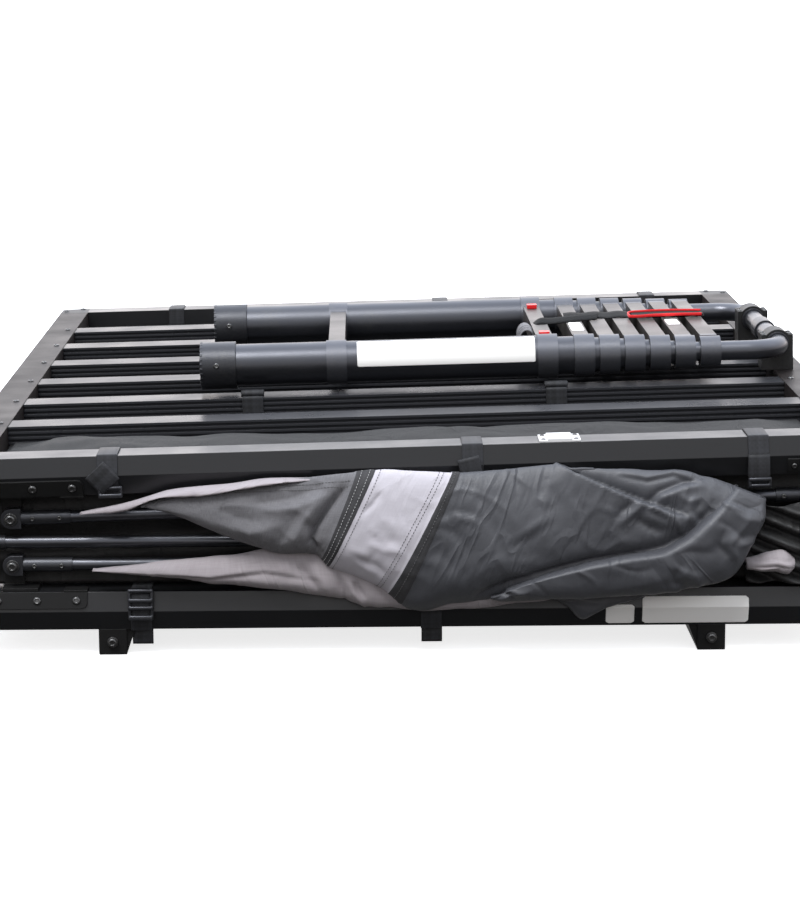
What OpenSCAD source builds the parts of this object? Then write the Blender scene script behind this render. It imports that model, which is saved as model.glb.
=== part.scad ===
// Fold-out roof top tent, folded and uncovered, with its telescopic ladder stowed on top.
// Two aluminium frame halves are hinged along their left ends. Three tent bows and the
// folded canopy lie between them. Millimetres, +Z up, X along the fold, Y across it.
// The origin is the centre of the footprint, on the underside of the mounting tracks.

/* [Frame] */
// Length of each frame half, along the fold
frame_l = 1200; // [1100:10:1300]
// Width of the tent, along the hinge line
frame_w = 1400; // [1340:10:1560]
// Height of the frame rails
rail_h = 50; // [46:1:58]
// Width of the frame rails seen from above
rail_w = 55; // [50:1:62]
// How far the ridge of a rail's outer face stands out
ridge = 7; // [4:0.5:10]
// Wall of the rail extrusion
rail_wall = 2.5; // [2:0.25:4]
// Radius of the corner castings
corner_r = 18; // [12:1:24]
// Clear height between the two frame halves at the hinge
gap = 124; // [118:1:140]
// Angle at which the packed canopy props the upper half open
lid_rest = 1.33; // [0.5:0.01:2]

/* [Slats and floor] */
// Slats in each half
slat_count = 6; // [5:1:7]
// Distance between slats
slat_pitch = 174.4; // [165:0.2:180]
// Width of a slat
slat_w = 50; // [40:1:54]
// Height of a slat
slat_h = 25; // [20:1:28]
// Depth of the grooves in a slat's sides
groove_d = 2; // [1:0.25:3]
// Grooves in each side of a slat
groove_count = 3; // [2:1:4]
// Wall of the slat extrusion
slat_wall = 1.8; // [1.5:0.1:2.5]
// Thickness of the floor board
floor_t = 4; // [3:0.5:6]
// Thickness of the mattress
mattress_t = 40; // [30:1:42]

/* [Mounting tracks] */
// Height of the mounting tracks
track_h = 34; // [30:1:40]
// Width of the mounting tracks
track_w = 36; // [34:1:44]
// Distance between the two tracks
track_span = 778; // [680:2:840]
// Wall of the track
track_wall = 3; // [2.5:0.25:4]
// Width of the slot in the track's underside
slot_w = 10; // [8.5:0.25:12]
// Thickness of the end brackets
bracket_t = 6; // [5:0.5:8]

/* [Hinge and bows] */
// Distance from the frame's end to the hinge axis
hinge_gap = 3; // [2:0.5:5]
// Thickness of the hinge plates
hinge_t = 3; // [2.5:0.25:4]
// Length of the hinge plates along the rail
hinge_l = 180; // [160:2:200]
// Diameter of the hinge pins
hinge_pin_d = 10; // [8:0.5:12]
// Diameter of the bow tubes
bow_d = 16; // [14:0.5:18]
// Height between neighbouring bows
bow_step = 30; // [28:0.5:31]
// Distance from the frame's end to the pivots of the outer bows
bow_pivot = 83; // [78:1:100]
// Distance from the far end of the frame to the bows' cross bars
bow_end = 55; // [45:1:70]
// Bend radius of the bow corners
bow_r = 45; // [35:1:60]
// Distance from the frame's side to the bow legs
bow_inset = 28; // [27:0.5:32]

/* [Ladder] */
// Distance between the two ladder stiles
ladder_w = 392; // [370:1:420]
// Height of the ladder's axis above the frame
ladder_h = 39.5; // [39:0.5:46]
// How far the ladder lies in front of the frame's middle
ladder_front = 42; // [40:1:60]
// Distance between rungs when the ladder is pulled out
rung_spacing = 304; // [290:1:320]
// Distance between the collars of the closed ladder
collar_pitch = 36.5; // [34:0.5:40]
// Length of a collar
collar_l = 29; // [26:0.5:31]
// Wall of the lowest collar round its tube
collar_rim = 1.8; // [1.6:0.1:2.4]
// Diameter of the bail's tube, the thinnest of the ladder
bail_d = 28; // [26:0.5:30]
// Step in diameter from one ladder tube to the next
tube_step = 5.4; // [5:0.1:5.8]
// Wall of the ladder tubes
tube_wall = 1.6; // [1.2:0.1:2]
// Tube left inside the next one when the ladder is pulled out
tube_overlap = 170; // [140:5:180]
// Bend radius of the bail
bail_r = 50; // [44:1:56]
// Distance from the bail's axis to the top collar
bail_leg = 107; // [100:1:120]
// Travel of the red release buttons
button_travel = 6; // [4:0.5:8]

/* [Straps and canopy] */
// Width of the webbing
strap_w = 26; // [22:1:30]
// Thickness of the webbing
strap_t = 2; // [1.5:0.25:2.5]
// How far the folded canopy bulges out past the frame
canopy_bulge = 42; // [25:1:50]

/* [Hidden] */
$fn = 48;

// Clearances: pieces that slide or turn, soft pieces beside hard ones, and pushed-on pieces
run = 0.05;
soft = 0.3;
push = 0.05;
eps = 0.5;

// Colours
anodised = [0.09, 0.09, 0.1];
cast_black = [0.05, 0.05, 0.055];
plastic_black = [0.06, 0.06, 0.065];
steel = [0.5, 0.5, 0.52];
webbing = [0.12, 0.125, 0.135];
cloth_dark = [0.2, 0.2, 0.215];
cloth_light = [0.62, 0.6, 0.63];
foam_grey = [0.35, 0.35, 0.36];

// Heights of the two halves and the hinge between them
base_z = track_h;
base_top = base_z + rail_h;
hinge_z = base_top + gap / 2;
lid_top = 2 * hinge_z - base_z;
knuckle_r = hinge_pin_d / 2 + 5;
fitting_r = bow_d / 2 + 5;
hinge_x = -frame_l / 2 - hinge_gap;
// Moves the frame's centre so that the footprint is centred on the origin
frame_cx = (hinge_gap + max(knuckle_r, fitting_r)) / 2;

// Inside of the frame
inner_x = frame_l / 2 - rail_w;
inner_y = frame_w / 2 - rail_w;
face_y = frame_w / 2 - ridge;
slope = atan(ridge / (rail_h / 2));
slope_l = norm([ridge, rail_h / 2]);

// Slats and floor of the lower half
slat_inset = 1;
slat_z = base_z + slat_inset;
groove_h = slat_h / (2 * groove_count + 1);
floor_z = slat_z + slat_h;
mattress_z = floor_z + floor_t;
floor_gap = strap_t + 2 * soft + 0.4;
mattress_gap = 8;
function slat_y(i) = (i - (slat_count - 1) / 2) * slat_pitch;

// Screws on the frame
screw_r = 4.5;
screw_t = 2;
slat_screw_in = 13;
slat_screw_x = inner_x + slat_screw_in;
corner_screw = 16;
corner_screw_in = 12;

// Mounting tracks and their end brackets
lip_t = 4;
track_end = face_y - bracket_t;
gusset_w = 12;
gusset_z = 2;
track_bolt_r = 4;
track_bolt_head = 7;
track_bolt_head_t = 4;
track_bolt_l = 10;
track_nut_r = 7.5;
track_nut_t = 7;

// Hinge plates
leaf_h = slope_l * 0.85;
leaf_corner = 8;
arm_w = 45;
arm_foot = 15;
tab_l = 30;
tab_d = 20;
hinge_screw_r = 5.5;
hinge_screw_t = 3;
hinge_screws = 4;
hinge_screw_in = 14;
hinge_pitch = (hinge_l - 2 * hinge_screw_in) / (hinge_screws - 1);
arm_gap = 0.3;

// Bows
bow_y = frame_w / 2 - bow_inset;
bow_reach = frame_l / 2 - bow_end;
bow_x = -frame_l / 2 + bow_pivot;
bow_wall = 1.5;
fitting_w = bow_d + 2;
sleeve_r = bow_d / 2 + 1.5;
sleeve_l = 64;
socket_l = 28;
pivot_r = 4;
pivot_head = 8.5;
pivot_head_t = 4;
ear_in = 4;
ear_t = 4;
ear_foot = 20;
pivot_nut_r = 7;
pivot_nut_t = 5;
pivot_thread = 1;
pin_end = 5;
ear_y = bow_y - fitting_w / 2 - arm_gap;
low_z = hinge_z - bow_step;
high_z = hinge_z + bow_step;

// Folded canopy
layer_gap = 0.6;
layer_t = bow_step - 2 * sleeve_r - 2 * layer_gap;
layer_x0 = bow_x + fitting_r + sleeve_l;
layer_x1 = bow_reach - bow_r;
roll_gap = 1;
roll_y = bow_y + sleeve_r + roll_gap;
roll_tip = 5;
roll_end = 20;
roll_x0 = -frame_l / 2 + hinge_l + roll_tip;
roll_x1 = bow_reach - roll_end;
roll_stations = 24;
roll_points = 14;
roll_depth = frame_w / 2 + canopy_bulge - roll_y;
roll_air = 4;
roll_lip = 30;
roll_lip_y = frame_w / 2 + 8;
end_points = 28;
end_x = bow_reach + sleeve_r + roll_gap;
end_depth = frame_l / 2 - end_x - 4;
hem_t = 2;
hem_h = gap / 2 - 10;

// Straps and buckles
buckle_w = strap_w + 8;
leaf_gap = 15;
gusset_gap = 2;
entry_strap = 158;
lid_strap_x = [
    -frame_l / 2 + hinge_l + leaf_gap + buckle_w / 2, frame_l * 0.064, frame_l / 2 - entry_strap
];
base_strap_x = [
    -track_span / 2 + track_w / 2 + gusset_w + gusset_gap + strap_w / 2, frame_l * 0.02
];
buckle_h = slope_l * 1.15;
buckle_t = 5;
strap_tail = 16;
tail_in = 2;

// Ladder, in the frame of the upper half
section_count = 7;
ladder_y = ladder_w / 2;
ladder_z = lid_top + ladder_h;
pivot_in = 21.5;
pivot_x = frame_l / 2 - rail_w / 2 - pivot_in;
button_room = 16.5;
first_gap = collar_pitch + button_room;
function collar_x(k) =
    k == 1 ? collar_x(2) - first_gap
           : k == 0 ? collar_x(1) - rung_spacing
                    : pivot_x - bail_leg - (section_count - k) * collar_pitch;
function tube_d(k) = bail_d + (section_count - k) * tube_step;
collar_grow = 2.2;
function collar_d(k) = tube_d(max(k, 1)) + 2 * collar_rim + (max(k, 1) - 1) * collar_grow;
function stroke(k) = rung_spacing - (collar_x(k) - collar_x(k - 1));
function tube_x0(k) =
    k == 1 ? foot_x + foot_wall : collar_x(k - 1) - tube_overlap - stroke(k);
foot_reach = 196;
foot_x = collar_x(0) - foot_reach;
foot_l = 51;
foot_wall = 6;
foot_rim = 4;
foot_r = tube_d(1) / 2 + foot_rim;
rung_in = 2.5;
rung_l = collar_l - 2 * rung_in;
rung_top = 22;
rung_h = 30;
rung_wall = 2;
button_l = 15;
button_h = 6;
stem_w = 8;
stem_l = 4;
button_gap = 21;
button_y = ladder_y - collar_d(1) / 2 - button_gap;
bush_t = 3;
block_w = 46;
block_l = 38;
block_gap = 3.5;
block_roof = 3.5;
block_ear = 1;
block_relief = 1;
block_arch = bail_d / 2 + bush_t + block_roof;
block_y = ladder_y - bail_r - block_gap - block_l;
block_h = ladder_h + bail_d / 2 - block_ear;
bush_end = 2;
block_bolt_x = 3.6;
block_bolt_y = 10;
block_bolt_r = 3.2;
block_bolt_t = 3.5;
coupling_t = 2.5;
coupling_l = 44;
tie_band = 38;
tie_band_y = 2;
tie_w = strap_w + 4;
tie_gap = 5.5;
tie_x = [foot_x + foot_l + tie_gap + tie_w / 2, collar_x(1) + tie_gap];
tie_slat_index = 1;

// Keeper plate on the front rail
keeper_x = frame_l * 0.161;
keeper_w = 53;
keeper_t = 2.5;
keeper_in = 2;
keeper_back = 4;
keeper_pad_t = 2;
keeper_screw_in = 8;
keeper_screw_r = 3.5;
keeper_screw_t = 1.5;

// Cloth tucked in beside the front rail
skirt_gap = 2;
skirt_low = 4;
skirt_mid = 9;
skirt_high = 16;

// Placing: the frame's centre, the upper half as the mirrored lower one, and both sides
module place() translate([frame_cx, 0, 0]) children();

module flip() translate([0, 0, 2 * hinge_z]) mirror([0, 0, 1]) children();

module on_lid()
    place() translate([hinge_x, 0, hinge_z]) rotate([0, -lid_rest, 0])
        translate([-hinge_x, 0, -hinge_z]) children();

module on_ladder() on_lid() translate([0, -ladder_front, ladder_z]) children();

module both_sides() {
    children();
    mirror([0, 1, 0]) children();
}

module both_ends() {
    children();
    mirror([1, 0, 0]) children();
}

// Bars: an outline of [y, z] points run along X, and one of [x, z] points run along Y
module bar_x(points, x0, x1)
    translate([x0, 0, 0]) rotate([90, 0, 90]) linear_extrude(x1 - x0) polygon(points);

module bar_y(points, y0, y1)
    translate([0, y1, 0]) rotate([90, 0, 0]) linear_extrude(y1 - y0) polygon(points);

module rod_x(x0, x1, d) translate([x0, 0, 0]) rotate([0, 90, 0]) cylinder(h = x1 - x0, d = d);

module rod_y(y0, y1, d) translate([0, y0, 0]) rotate([-90, 0, 0]) cylinder(h = y1 - y0, d = d);

module pipe_x(x0, x1, d, bore)
    difference() {
        rod_x(x0, x1, d);
        rod_x(x0 - eps, x1 + eps, bore);
    }

module pipe_y(y0, y1, d, bore)
    difference() {
        rod_y(y0, y1, d);
        rod_y(y0 - eps, y1 + eps, bore);
    }

// Outline of a frame rail, grown by d, with its ridge at the given edge
function rail_outline(edge, z, d) =
    let (out = d * slope_l / (rail_h / 2), shoulder = edge - ridge * (1 + d / (rail_h / 2)) + out)
    [
        [edge - rail_w - d, z - d], [shoulder, z - d], [edge + out, z + rail_h / 2],
        [shoulder, z + rail_h + d], [edge - rail_w - d, z + rail_h + d]
    ];

module long_rails()
    color(anodised) both_sides() difference() {
        bar_x(rail_outline(frame_w / 2, base_z, 0), -inner_x, inner_x);
        bar_x(rail_outline(frame_w / 2, base_z, -rail_wall), -inner_x - eps, inner_x + eps);
    }

module side_rails()
    color(anodised) both_ends() difference() {
        bar_y(rail_outline(frame_l / 2, base_z, 0), -inner_y, inner_y);
        bar_y(rail_outline(frame_l / 2, base_z, -rail_wall), -inner_y - eps, inner_y + eps);
    }

// Round corner casting that carries the rails' outline round the corner
module corner_casting() {
    bar_x(rail_outline(frame_w / 2, base_z, 0), inner_x, frame_l / 2 - corner_r);
    bar_y(rail_outline(frame_l / 2, base_z, 0), inner_y, frame_w / 2 - corner_r);
    translate([frame_l / 2 - corner_r, frame_w / 2 - corner_r, base_z])
        rotate_extrude(angle = 90)
            polygon([
                [0, 0], [corner_r - ridge, 0], [corner_r, rail_h / 2],
                [corner_r - ridge, rail_h], [0, rail_h]
            ]);
}

module corners() color(cast_black) both_sides() both_ends() corner_casting();

// Slat with grooved sides, hollow
function slat_side(s) = [
    for (i = [0 : groove_count - 1], p = [[0, 1], [1, 1], [1, 2], [0, 2]])
        [s * (slat_w / 2 - p[0] * groove_d), groove_h * (2 * i + p[1])]
];
function slat_outline() =
    let (right = slat_side(1), left = slat_side(-1), n = len(left))
    concat(
        [[slat_w / 2, 0]], right, [[slat_w / 2, slat_h], [-slat_w / 2, slat_h]],
        [for (i = [0 : n - 1]) left[n - 1 - i]], [[-slat_w / 2, 0]]
    );

module slat() {
    half = slat_w / 2 - groove_d - slat_wall;
    difference() {
        bar_x(slat_outline(), -inner_x, inner_x);
        translate([-inner_x - eps, -half, slat_wall])
            cube([2 * inner_x + 2 * eps, 2 * half, slat_h - 2 * slat_wall]);
    }
}

module slats()
    color(anodised) for (i = [0 : slat_count - 1]) translate([0, slat_y(i), slat_z]) slat();

module floor_board() {
    x = inner_x - floor_gap;
    y = inner_y - floor_gap;
    color([0.12, 0.12, 0.13]) translate([-x, -y, floor_z]) cube([2 * x, 2 * y, floor_t]);
}

// Foam pad with drawn-in edges
module mattress() {
    x = inner_x - mattress_gap;
    y = inner_y - mattress_gap;
    draw = 10;
    color(foam_grey) translate([0, 0, mattress_z + soft]) hull() {
        translate([-x + draw, -y + draw, 0])
            cube([2 * (x - draw), 2 * (y - draw), mattress_t - 2 * soft]);
        translate([-x, -y, draw]) cube([2 * x, 2 * y, mattress_t - 2 * draw]);
    }
}

// Domed screw head seated on a face that looks down
module screw_down(r, t)
    translate([0, 0, -t]) cylinder(h = t, r1 = r * 0.75, r2 = r);

// Screws that hold the slats and corners, on the outer face of a half
module frame_screws() {
    for (i = [0 : slat_count - 1], s = [-1, 1])
        translate([s * slat_screw_x, slat_y(i), base_z]) screw_down(screw_r, screw_t);
    both_sides() both_ends() {
        translate([frame_l / 2 - corner_screw, inner_y + corner_screw, base_z])
            screw_down(screw_r, screw_t);
        translate([inner_x + corner_screw_in, inner_y + rail_w - corner_screw, base_z])
            screw_down(screw_r, screw_t);
    }
}

// Screws of a hinge leaf, on the sloping face of the lower half
module leaf_screws()
    both_sides() on_leaf() for (i = [0 : hinge_screws - 1])
        translate([hinge_l - hinge_screw_in - i * hinge_pitch, -hinge_t, -leaf_h / 2]) rotate([-90, 0, 0])
            screw_down(hinge_screw_r, hinge_screw_t);

// Sloping upper face of the lower half's front rail: X along the rail from its left end,
// Y into the rail and Z up the slope from the face's top edge
module on_leaf()
    translate([-frame_l / 2, -face_y, base_top]) rotate([-slope, 0, 0]) children();

// Hinge plate: a leaf on the rail's face, tabs over its edge and an arm up to the pin.
// inset is how far the arm stands inside the leaf's plane.
module hinge_plate(inset) {
    arm_y = -face_y - hinge_t + inset;
    difference() {
        union() {
            on_leaf() {
                translate([0, -hinge_t, -leaf_h])
                    cube([hinge_l - leaf_corner, hinge_t, leaf_h]);
                translate([0, -hinge_t, -leaf_h + leaf_corner])
                    cube([hinge_l, hinge_t, leaf_h - leaf_corner]);
                translate([hinge_l - leaf_corner, 0, -leaf_h + leaf_corner])
                    rotate([90, 0, 0]) cylinder(h = hinge_t, r = leaf_corner);
            }
            for (x = [0, hinge_l - tab_l])
                translate([-frame_l / 2 + x, -face_y - hinge_t, base_top])
                    cube([x == 0 ? arm_w - hinge_gap : tab_l, tab_d, hinge_t]);
            bar_y(
                [
                    [hinge_x, base_top], [hinge_x + arm_w, base_top],
                    [hinge_x + arm_w, base_top + arm_foot], [hinge_x + knuckle_r, hinge_z],
                    [hinge_x, hinge_z]
                ],
                arm_y, arm_y + hinge_t
            );
            translate([hinge_x, arm_y, hinge_z]) rod_y(0, hinge_t, 2 * knuckle_r);
        }
        translate([hinge_x, arm_y, hinge_z])
            rod_y(-eps, hinge_t + eps, hinge_pin_d + 2 * run);
    }
}

// Bracket on the frame that carries the pivot of an outer bow
module bow_bracket() {
    x0 = bow_x - fitting_r;
    y0 = -ear_y;
    difference() {
        union() {
            translate([x0, -face_y + ear_in, base_top])
                cube([2 * fitting_r + ear_foot, ear_t + face_y - ear_in - ear_y, ear_t]);
            translate([x0, y0, base_top]) cube([2 * fitting_r, ear_t, low_z - base_top]);
            translate([bow_x, y0, low_z]) rod_y(0, ear_t, 2 * fitting_r);
        }
        translate([bow_x, y0, low_z]) rod_y(-eps, ear_t + eps, 2 * pivot_r + 2 * push);
    }
}

// Pivot bolt of an outer bow, with its head outside and its nut behind the bracket
module bow_bolt() {
    outer = -bow_y - fitting_w / 2 - arm_gap;
    inner = -ear_y + ear_t;
    translate([bow_x, 0, low_z]) {
        rod_y(outer - pivot_head_t, outer, 2 * pivot_head);
        rod_y(outer - eps, inner + pivot_nut_t + pivot_thread, 2 * pivot_r);
        translate([0, inner, 0]) rotate([-90, 0, 0])
            cylinder(h = pivot_nut_t, r = pivot_nut_r, $fn = 6);
    }
}

// Hinge pin, through both plates and the end of the middle bow
module hinge_pin() {
    outer = -face_y - hinge_t;
    inner = -ear_y + pin_end;
    head = 2 * knuckle_r - 2;
    spacer = 2 * knuckle_r - 4;
    translate([hinge_x, 0, hinge_z]) {
        rod_y(outer - pivot_head_t, outer, head);
        rod_y(outer - eps, inner, hinge_pin_d);
        rod_y(-ear_y + arm_gap, inner, head);
        rod_y(-face_y + hinge_t + 2 * arm_gap, -bow_y - fitting_w / 2 - arm_gap, spacer);
    }
}

module base_hinge_plates() color(cast_black) place() both_sides() hinge_plate(0);

module base_pivot_pins()
    color(steel) place() both_sides() {
        bow_bolt();
        hinge_pin();
    }

module base_bow_brackets() color(cast_black) place() both_sides() bow_bracket();

module lid_hinge_plates()
    color(cast_black) on_lid() flip() both_sides() hinge_plate(hinge_t + arm_gap);

module lid_pivot_pins() color(steel) on_lid() flip() both_sides() bow_bolt();

module lid_bow_brackets() color(cast_black) on_lid() flip() both_sides() bow_bracket();

// Mounting tracks: channels with a slot in the underside, for sliding bolts
module mounting_tracks() {
    half = track_w / 2;
    slot = slot_w / 2;
    side = half - track_wall;
    roof = track_h - track_wall;
    color(anodised) place() both_ends() translate([track_span / 2, 0, 0])
        bar_y(
            [
                [slot, 0], [half, 0], [half, track_h], [-half, track_h], [-half, 0], [-slot, 0],
                [-slot, lip_t], [-side, lip_t], [-side, roof], [side, roof], [side, lip_t],
                [slot, lip_t]
            ],
            -track_end, track_end
        );
}

// End bracket: a plate with a gusset towards the middle
module track_brackets()
    color(cast_black) place() both_sides() both_ends() difference() {
        union() {
            translate([track_span / 2 - track_w / 2, track_end, 0])
                cube([track_w, bracket_t, track_h]);
            bar_y(
                [
                    [track_span / 2 - track_w / 2, gusset_z],
                    [track_span / 2 - track_w / 2, track_h],
                    [track_span / 2 - track_w / 2 - gusset_w, track_h]
                ],
                track_end, track_end + bracket_t / 2
            );
        }
        translate([track_span / 2, 0, track_h / 2])
            rod_y(track_end - eps, track_end + bracket_t + eps, 2 * track_bolt_r + 2 * push);
    }

module track_bolts()
    color(steel) place() both_sides() both_ends() translate([track_span / 2, 0, track_h / 2]) {
        rod_y(track_end + bracket_t, track_end + bracket_t + track_bolt_head_t, 2 * track_bolt_head);
        rod_y(track_end - track_bolt_l, track_end + bracket_t + eps, 2 * track_bolt_r);
        translate([0, track_end - track_nut_t, 0]) rotate([-90, 0, 0])
            cylinder(h = track_nut_t, r = track_nut_r, $fn = 6);
    }

// Bow: two legs and a cross bar, lying flat, with the legs starting at x0
module bow_tubes(x0) {
    bore = bow_d - 2 * bow_wall;
    both_sides() translate([0, bow_y, 0]) pipe_x(x0 + fitting_r + 1, bow_reach - bow_r, bow_d, bore);
    translate([bow_reach, 0, 0]) pipe_y(-bow_y + bow_r, bow_y - bow_r, bow_d, bore);
}

// End fittings with pivot eyes, and corner elbows
module bow_fittings(x0, bolt_d) {
    both_sides() {
        difference() {
            union() {
                translate([x0, bow_y - fitting_w / 2, 0]) rod_y(0, fitting_w, 2 * fitting_r);
                translate([x0, bow_y - fitting_w / 2, -fitting_r])
                    cube([fitting_r, fitting_w, 2 * fitting_r]);
                translate([0, bow_y, 0])
                    rod_x(x0 + fitting_r, x0 + fitting_r + sleeve_l, 2 * sleeve_r);
            }
            translate([x0, bow_y - fitting_w / 2, 0])
                rod_y(-eps, fitting_w + eps, bolt_d + 2 * run);
            translate([0, bow_y, 0])
                rod_x(x0 + fitting_r + 1 - push, x0 + fitting_r + sleeve_l + eps, bow_d + 2 * push);
        }
        difference() {
            union() {
                translate([bow_reach - bow_r, bow_y - bow_r, 0])
                    rotate_extrude(angle = 90) translate([bow_r, 0]) circle(r = sleeve_r);
                translate([0, bow_y, 0])
                    rod_x(bow_reach - bow_r - socket_l, bow_reach - bow_r, 2 * sleeve_r);
                translate([bow_reach, 0, 0])
                    rod_y(bow_y - bow_r - socket_l, bow_y - bow_r, 2 * sleeve_r);
            }
            translate([0, bow_y, 0])
                rod_x(bow_reach - bow_r - socket_l - eps, bow_reach - bow_r, bow_d + 2 * push);
            translate([bow_reach, 0, 0])
                rod_y(bow_y - bow_r - socket_l - eps, bow_y - bow_r, bow_d + 2 * push);
        }
    }
}

module lower_bow() color(anodised) place() translate([0, 0, low_z]) bow_tubes(bow_x);

module lower_bow_fittings()
    color(plastic_black) place() translate([0, 0, low_z]) bow_fittings(bow_x, 2 * pivot_r);

module middle_bow() color(anodised) place() translate([0, 0, hinge_z]) bow_tubes(hinge_x);

module middle_bow_fittings()
    color(plastic_black) place() translate([0, 0, hinge_z]) bow_fittings(hinge_x, hinge_pin_d);

module upper_bow() color(anodised) on_lid() translate([0, 0, high_z]) bow_tubes(bow_x);

module upper_bow_fittings()
    color(plastic_black) on_lid() translate([0, 0, high_z]) bow_fittings(bow_x, 2 * pivot_r);

// Roof cloth gathered outside the bows' cross bars, in pleats, with its hem on the lower frame
function pleat_point(j) =
    let (
        a = -90 + 180 * j / end_points,
        rise = (end_x - hinge_x) * tan(lid_rest) / 2,
        out = end_depth * pow(cos(a), 0.7) * (1 - 0.1 * (1 + sin(7 * a)))
    )
    [end_x + out, hinge_z + rise + (gap / 2 - roll_air + rise) * sin(a)];

module canopy_end() {
    y = bow_y - bow_r;
    bar_y([for (j = [0 : end_points]) pleat_point(j)], -y, y);
    translate([end_x, -y, base_top + soft]) cube([hem_t, 2 * y, hem_h]);
}

// Canopy cloth folded flat between the bows, and the roof's end
module canopy_layers()
    color(cloth_dark) place() {
        for (z = [(low_z + hinge_z) / 2, (hinge_z + high_z) / 2])
            translate([layer_x0, -roll_y + soft, z - layer_t / 2])
                cube([layer_x1 - layer_x0, 2 * (roll_y - soft), layer_t]);
        canopy_end();
    }

// Roll of canopy cloth along one side. Near the hinge it parts into an upper and a lower tail.
// In front of the rails it swells over their edges, and a crease crosses it towards its far end.
function ease(t) = let (u = max(0, min(1, t))) u * u * (3 - 2 * u);
function roll_share(i) = i / roll_stations;
function roll_x(i) = roll_x0 + roll_share(i) * (roll_x1 - roll_x0);
function roll_grow(i) = 0.35 + 0.65 * ease(roll_share(i) / 0.4);
function roll_close(i) = 1 - 0.4 * ease((roll_share(i) - 0.85) / 0.15);
function roll_rise(i) = (roll_x(i) - hinge_x) * tan(lid_rest) / 2;
function roll_half(i) =
    (gap / 2 - roll_air + roll_rise(i)) * (0.6 + 0.4 * ease(roll_share(i) / 0.4)) * roll_close(i);
function tail_notch(a, i) = (1 - ease(roll_share(i) / 0.32)) * exp(-pow(a / 38, 2));
function crease(a, i) = exp(-pow((a + 70 - 300 * (roll_share(i) - 0.43)) / 14, 2));
function swell(a, y, i) =
    y < roll_lip_y ? 0 : roll_lip * ease(roll_share(i) / 0.4) * roll_close(i) * sin(2 * a);
function roll_point(i, j) =
    let (
        a = -90 + 180 * j / roll_points,
        out = roll_depth * roll_grow(i) * roll_close(i) * pow(cos(a), 0.7),
        fold = 1 - 0.25 * crease(a, i) - 0.04 * (1 + sin(3 * a + 540 * roll_share(i))),
        y = roll_y + out * fold * (1 - 0.95 * tail_notch(a, i))
    )
    [roll_x(i), y, hinge_z + roll_rise(i) + roll_half(i) * sin(a) + swell(a, y, i)];

module canopy_roll() {
    n = roll_points + 1;
    last = roll_stations * n;
    ends = [for (i = [0, roll_stations]) [roll_x(i), roll_y + 2, hinge_z + roll_rise(i)]];
    tip = (roll_stations + 1) * n;
    polyhedron(
        points = concat(
            [for (i = [0 : roll_stations], j = [0 : roll_points]) roll_point(i, j)],
            ends
        ),
        faces = concat(
            [for (j = [0 : n - 1]) [tip, j, (j + 1) % n]],
            [for (j = [0 : n - 1]) [tip + 1, last + (j + 1) % n, last + j]],
            [
                for (i = [0 : roll_stations - 1], j = [0 : n - 1], half = [0, 1])
                    let (a = i * n + j, b = i * n + (j + 1) % n)
                    half == 0 ? [a, b + n, b] : [a, a + n, b + n]
            ]
        )
    );
}

// Hem that ties the roll to the top of the lower frame's rail, notched over the webbing
module canopy_hem() {
    x0 = roll_x(roll_stations / 4);
    x1 = roll_x(roll_stations - 3);
    notch = strap_w / 2 + soft;
    difference() {
        translate([x0, roll_y, base_top + soft]) cube([x1 - x0, hem_t, hem_h]);
        for (x = base_strap_x)
            translate([x - notch, roll_y - eps, base_top])
                cube([2 * notch, hem_t + 2 * eps, strap_t + 2 * soft]);
    }
}

module canopy_side() {
    canopy_roll();
    canopy_hem();
}

module canopy_front() color(cloth_light) place() mirror([0, 1, 0]) canopy_side();

module canopy_back() color(cloth_light) place() canopy_side();

// Webbing loop round a rail of the lower half, with a free tail below it
module rail_strap(x, tail) {
    difference() {
        bar_x(rail_outline(frame_w / 2, base_z, soft + strap_t), x - strap_w / 2, x + strap_w / 2);
        bar_x(rail_outline(frame_w / 2, base_z, soft), x - strap_w / 2 - eps, x + strap_w / 2 + eps);
    }
    translate([x - strap_w / 2, face_y - strap_t - tail_in, base_z - soft - tail])
        cube([strap_w, strap_t, tail]);
}

// Ladder-lock buckle on the sloping face of the lower half, over the webbing
module rail_buckle(x) {
    bar_w = 4;
    slot_h = (buckle_h - 3 * bar_w) / 2;
    off = strap_t + 2 * soft;
    mirror([0, 1, 0]) translate([x, -face_y, base_top]) rotate([-slope, 0, 0])
        translate([-buckle_w / 2, -off - buckle_t, -slope_l / 2 - buckle_h / 2]) difference() {
            cube([buckle_w, buckle_t, buckle_h]);
            for (k = [0, 1])
                translate([(buckle_w - strap_w) / 2, -eps, bar_w + k * (slot_h + bar_w)])
                    cube([strap_w, buckle_t + 2 * eps, slot_h]);
        }
}

module base_straps()
    color(webbing) place() both_sides() for (x = base_strap_x) rail_strap(x, strap_tail);

module base_buckles()
    color(plastic_black) place() both_sides() rail_buckle(base_strap_x[0]);

module lid_straps()
    color(webbing) on_lid() flip() both_sides() for (x = lid_strap_x) rail_strap(x, strap_t);

module lid_buckles()
    color(plastic_black) on_lid() flip() both_sides() for (x = lid_strap_x) rail_buckle(x);

// White keeper plate on the upper half's front rail
module keeper_plate() {
    depth = rail_w - ridge - keeper_in - keeper_back;
    pad = keeper_w * 0.6;
    color("white") on_lid() translate([keeper_x, -face_y + keeper_in, lid_top]) {
        translate([-keeper_w / 2, 0, 0]) cube([keeper_w, depth, keeper_t]);
        translate([-pad / 2, 0, 0]) cube([pad, depth, keeper_t + keeper_pad_t]);
    }
}

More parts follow.
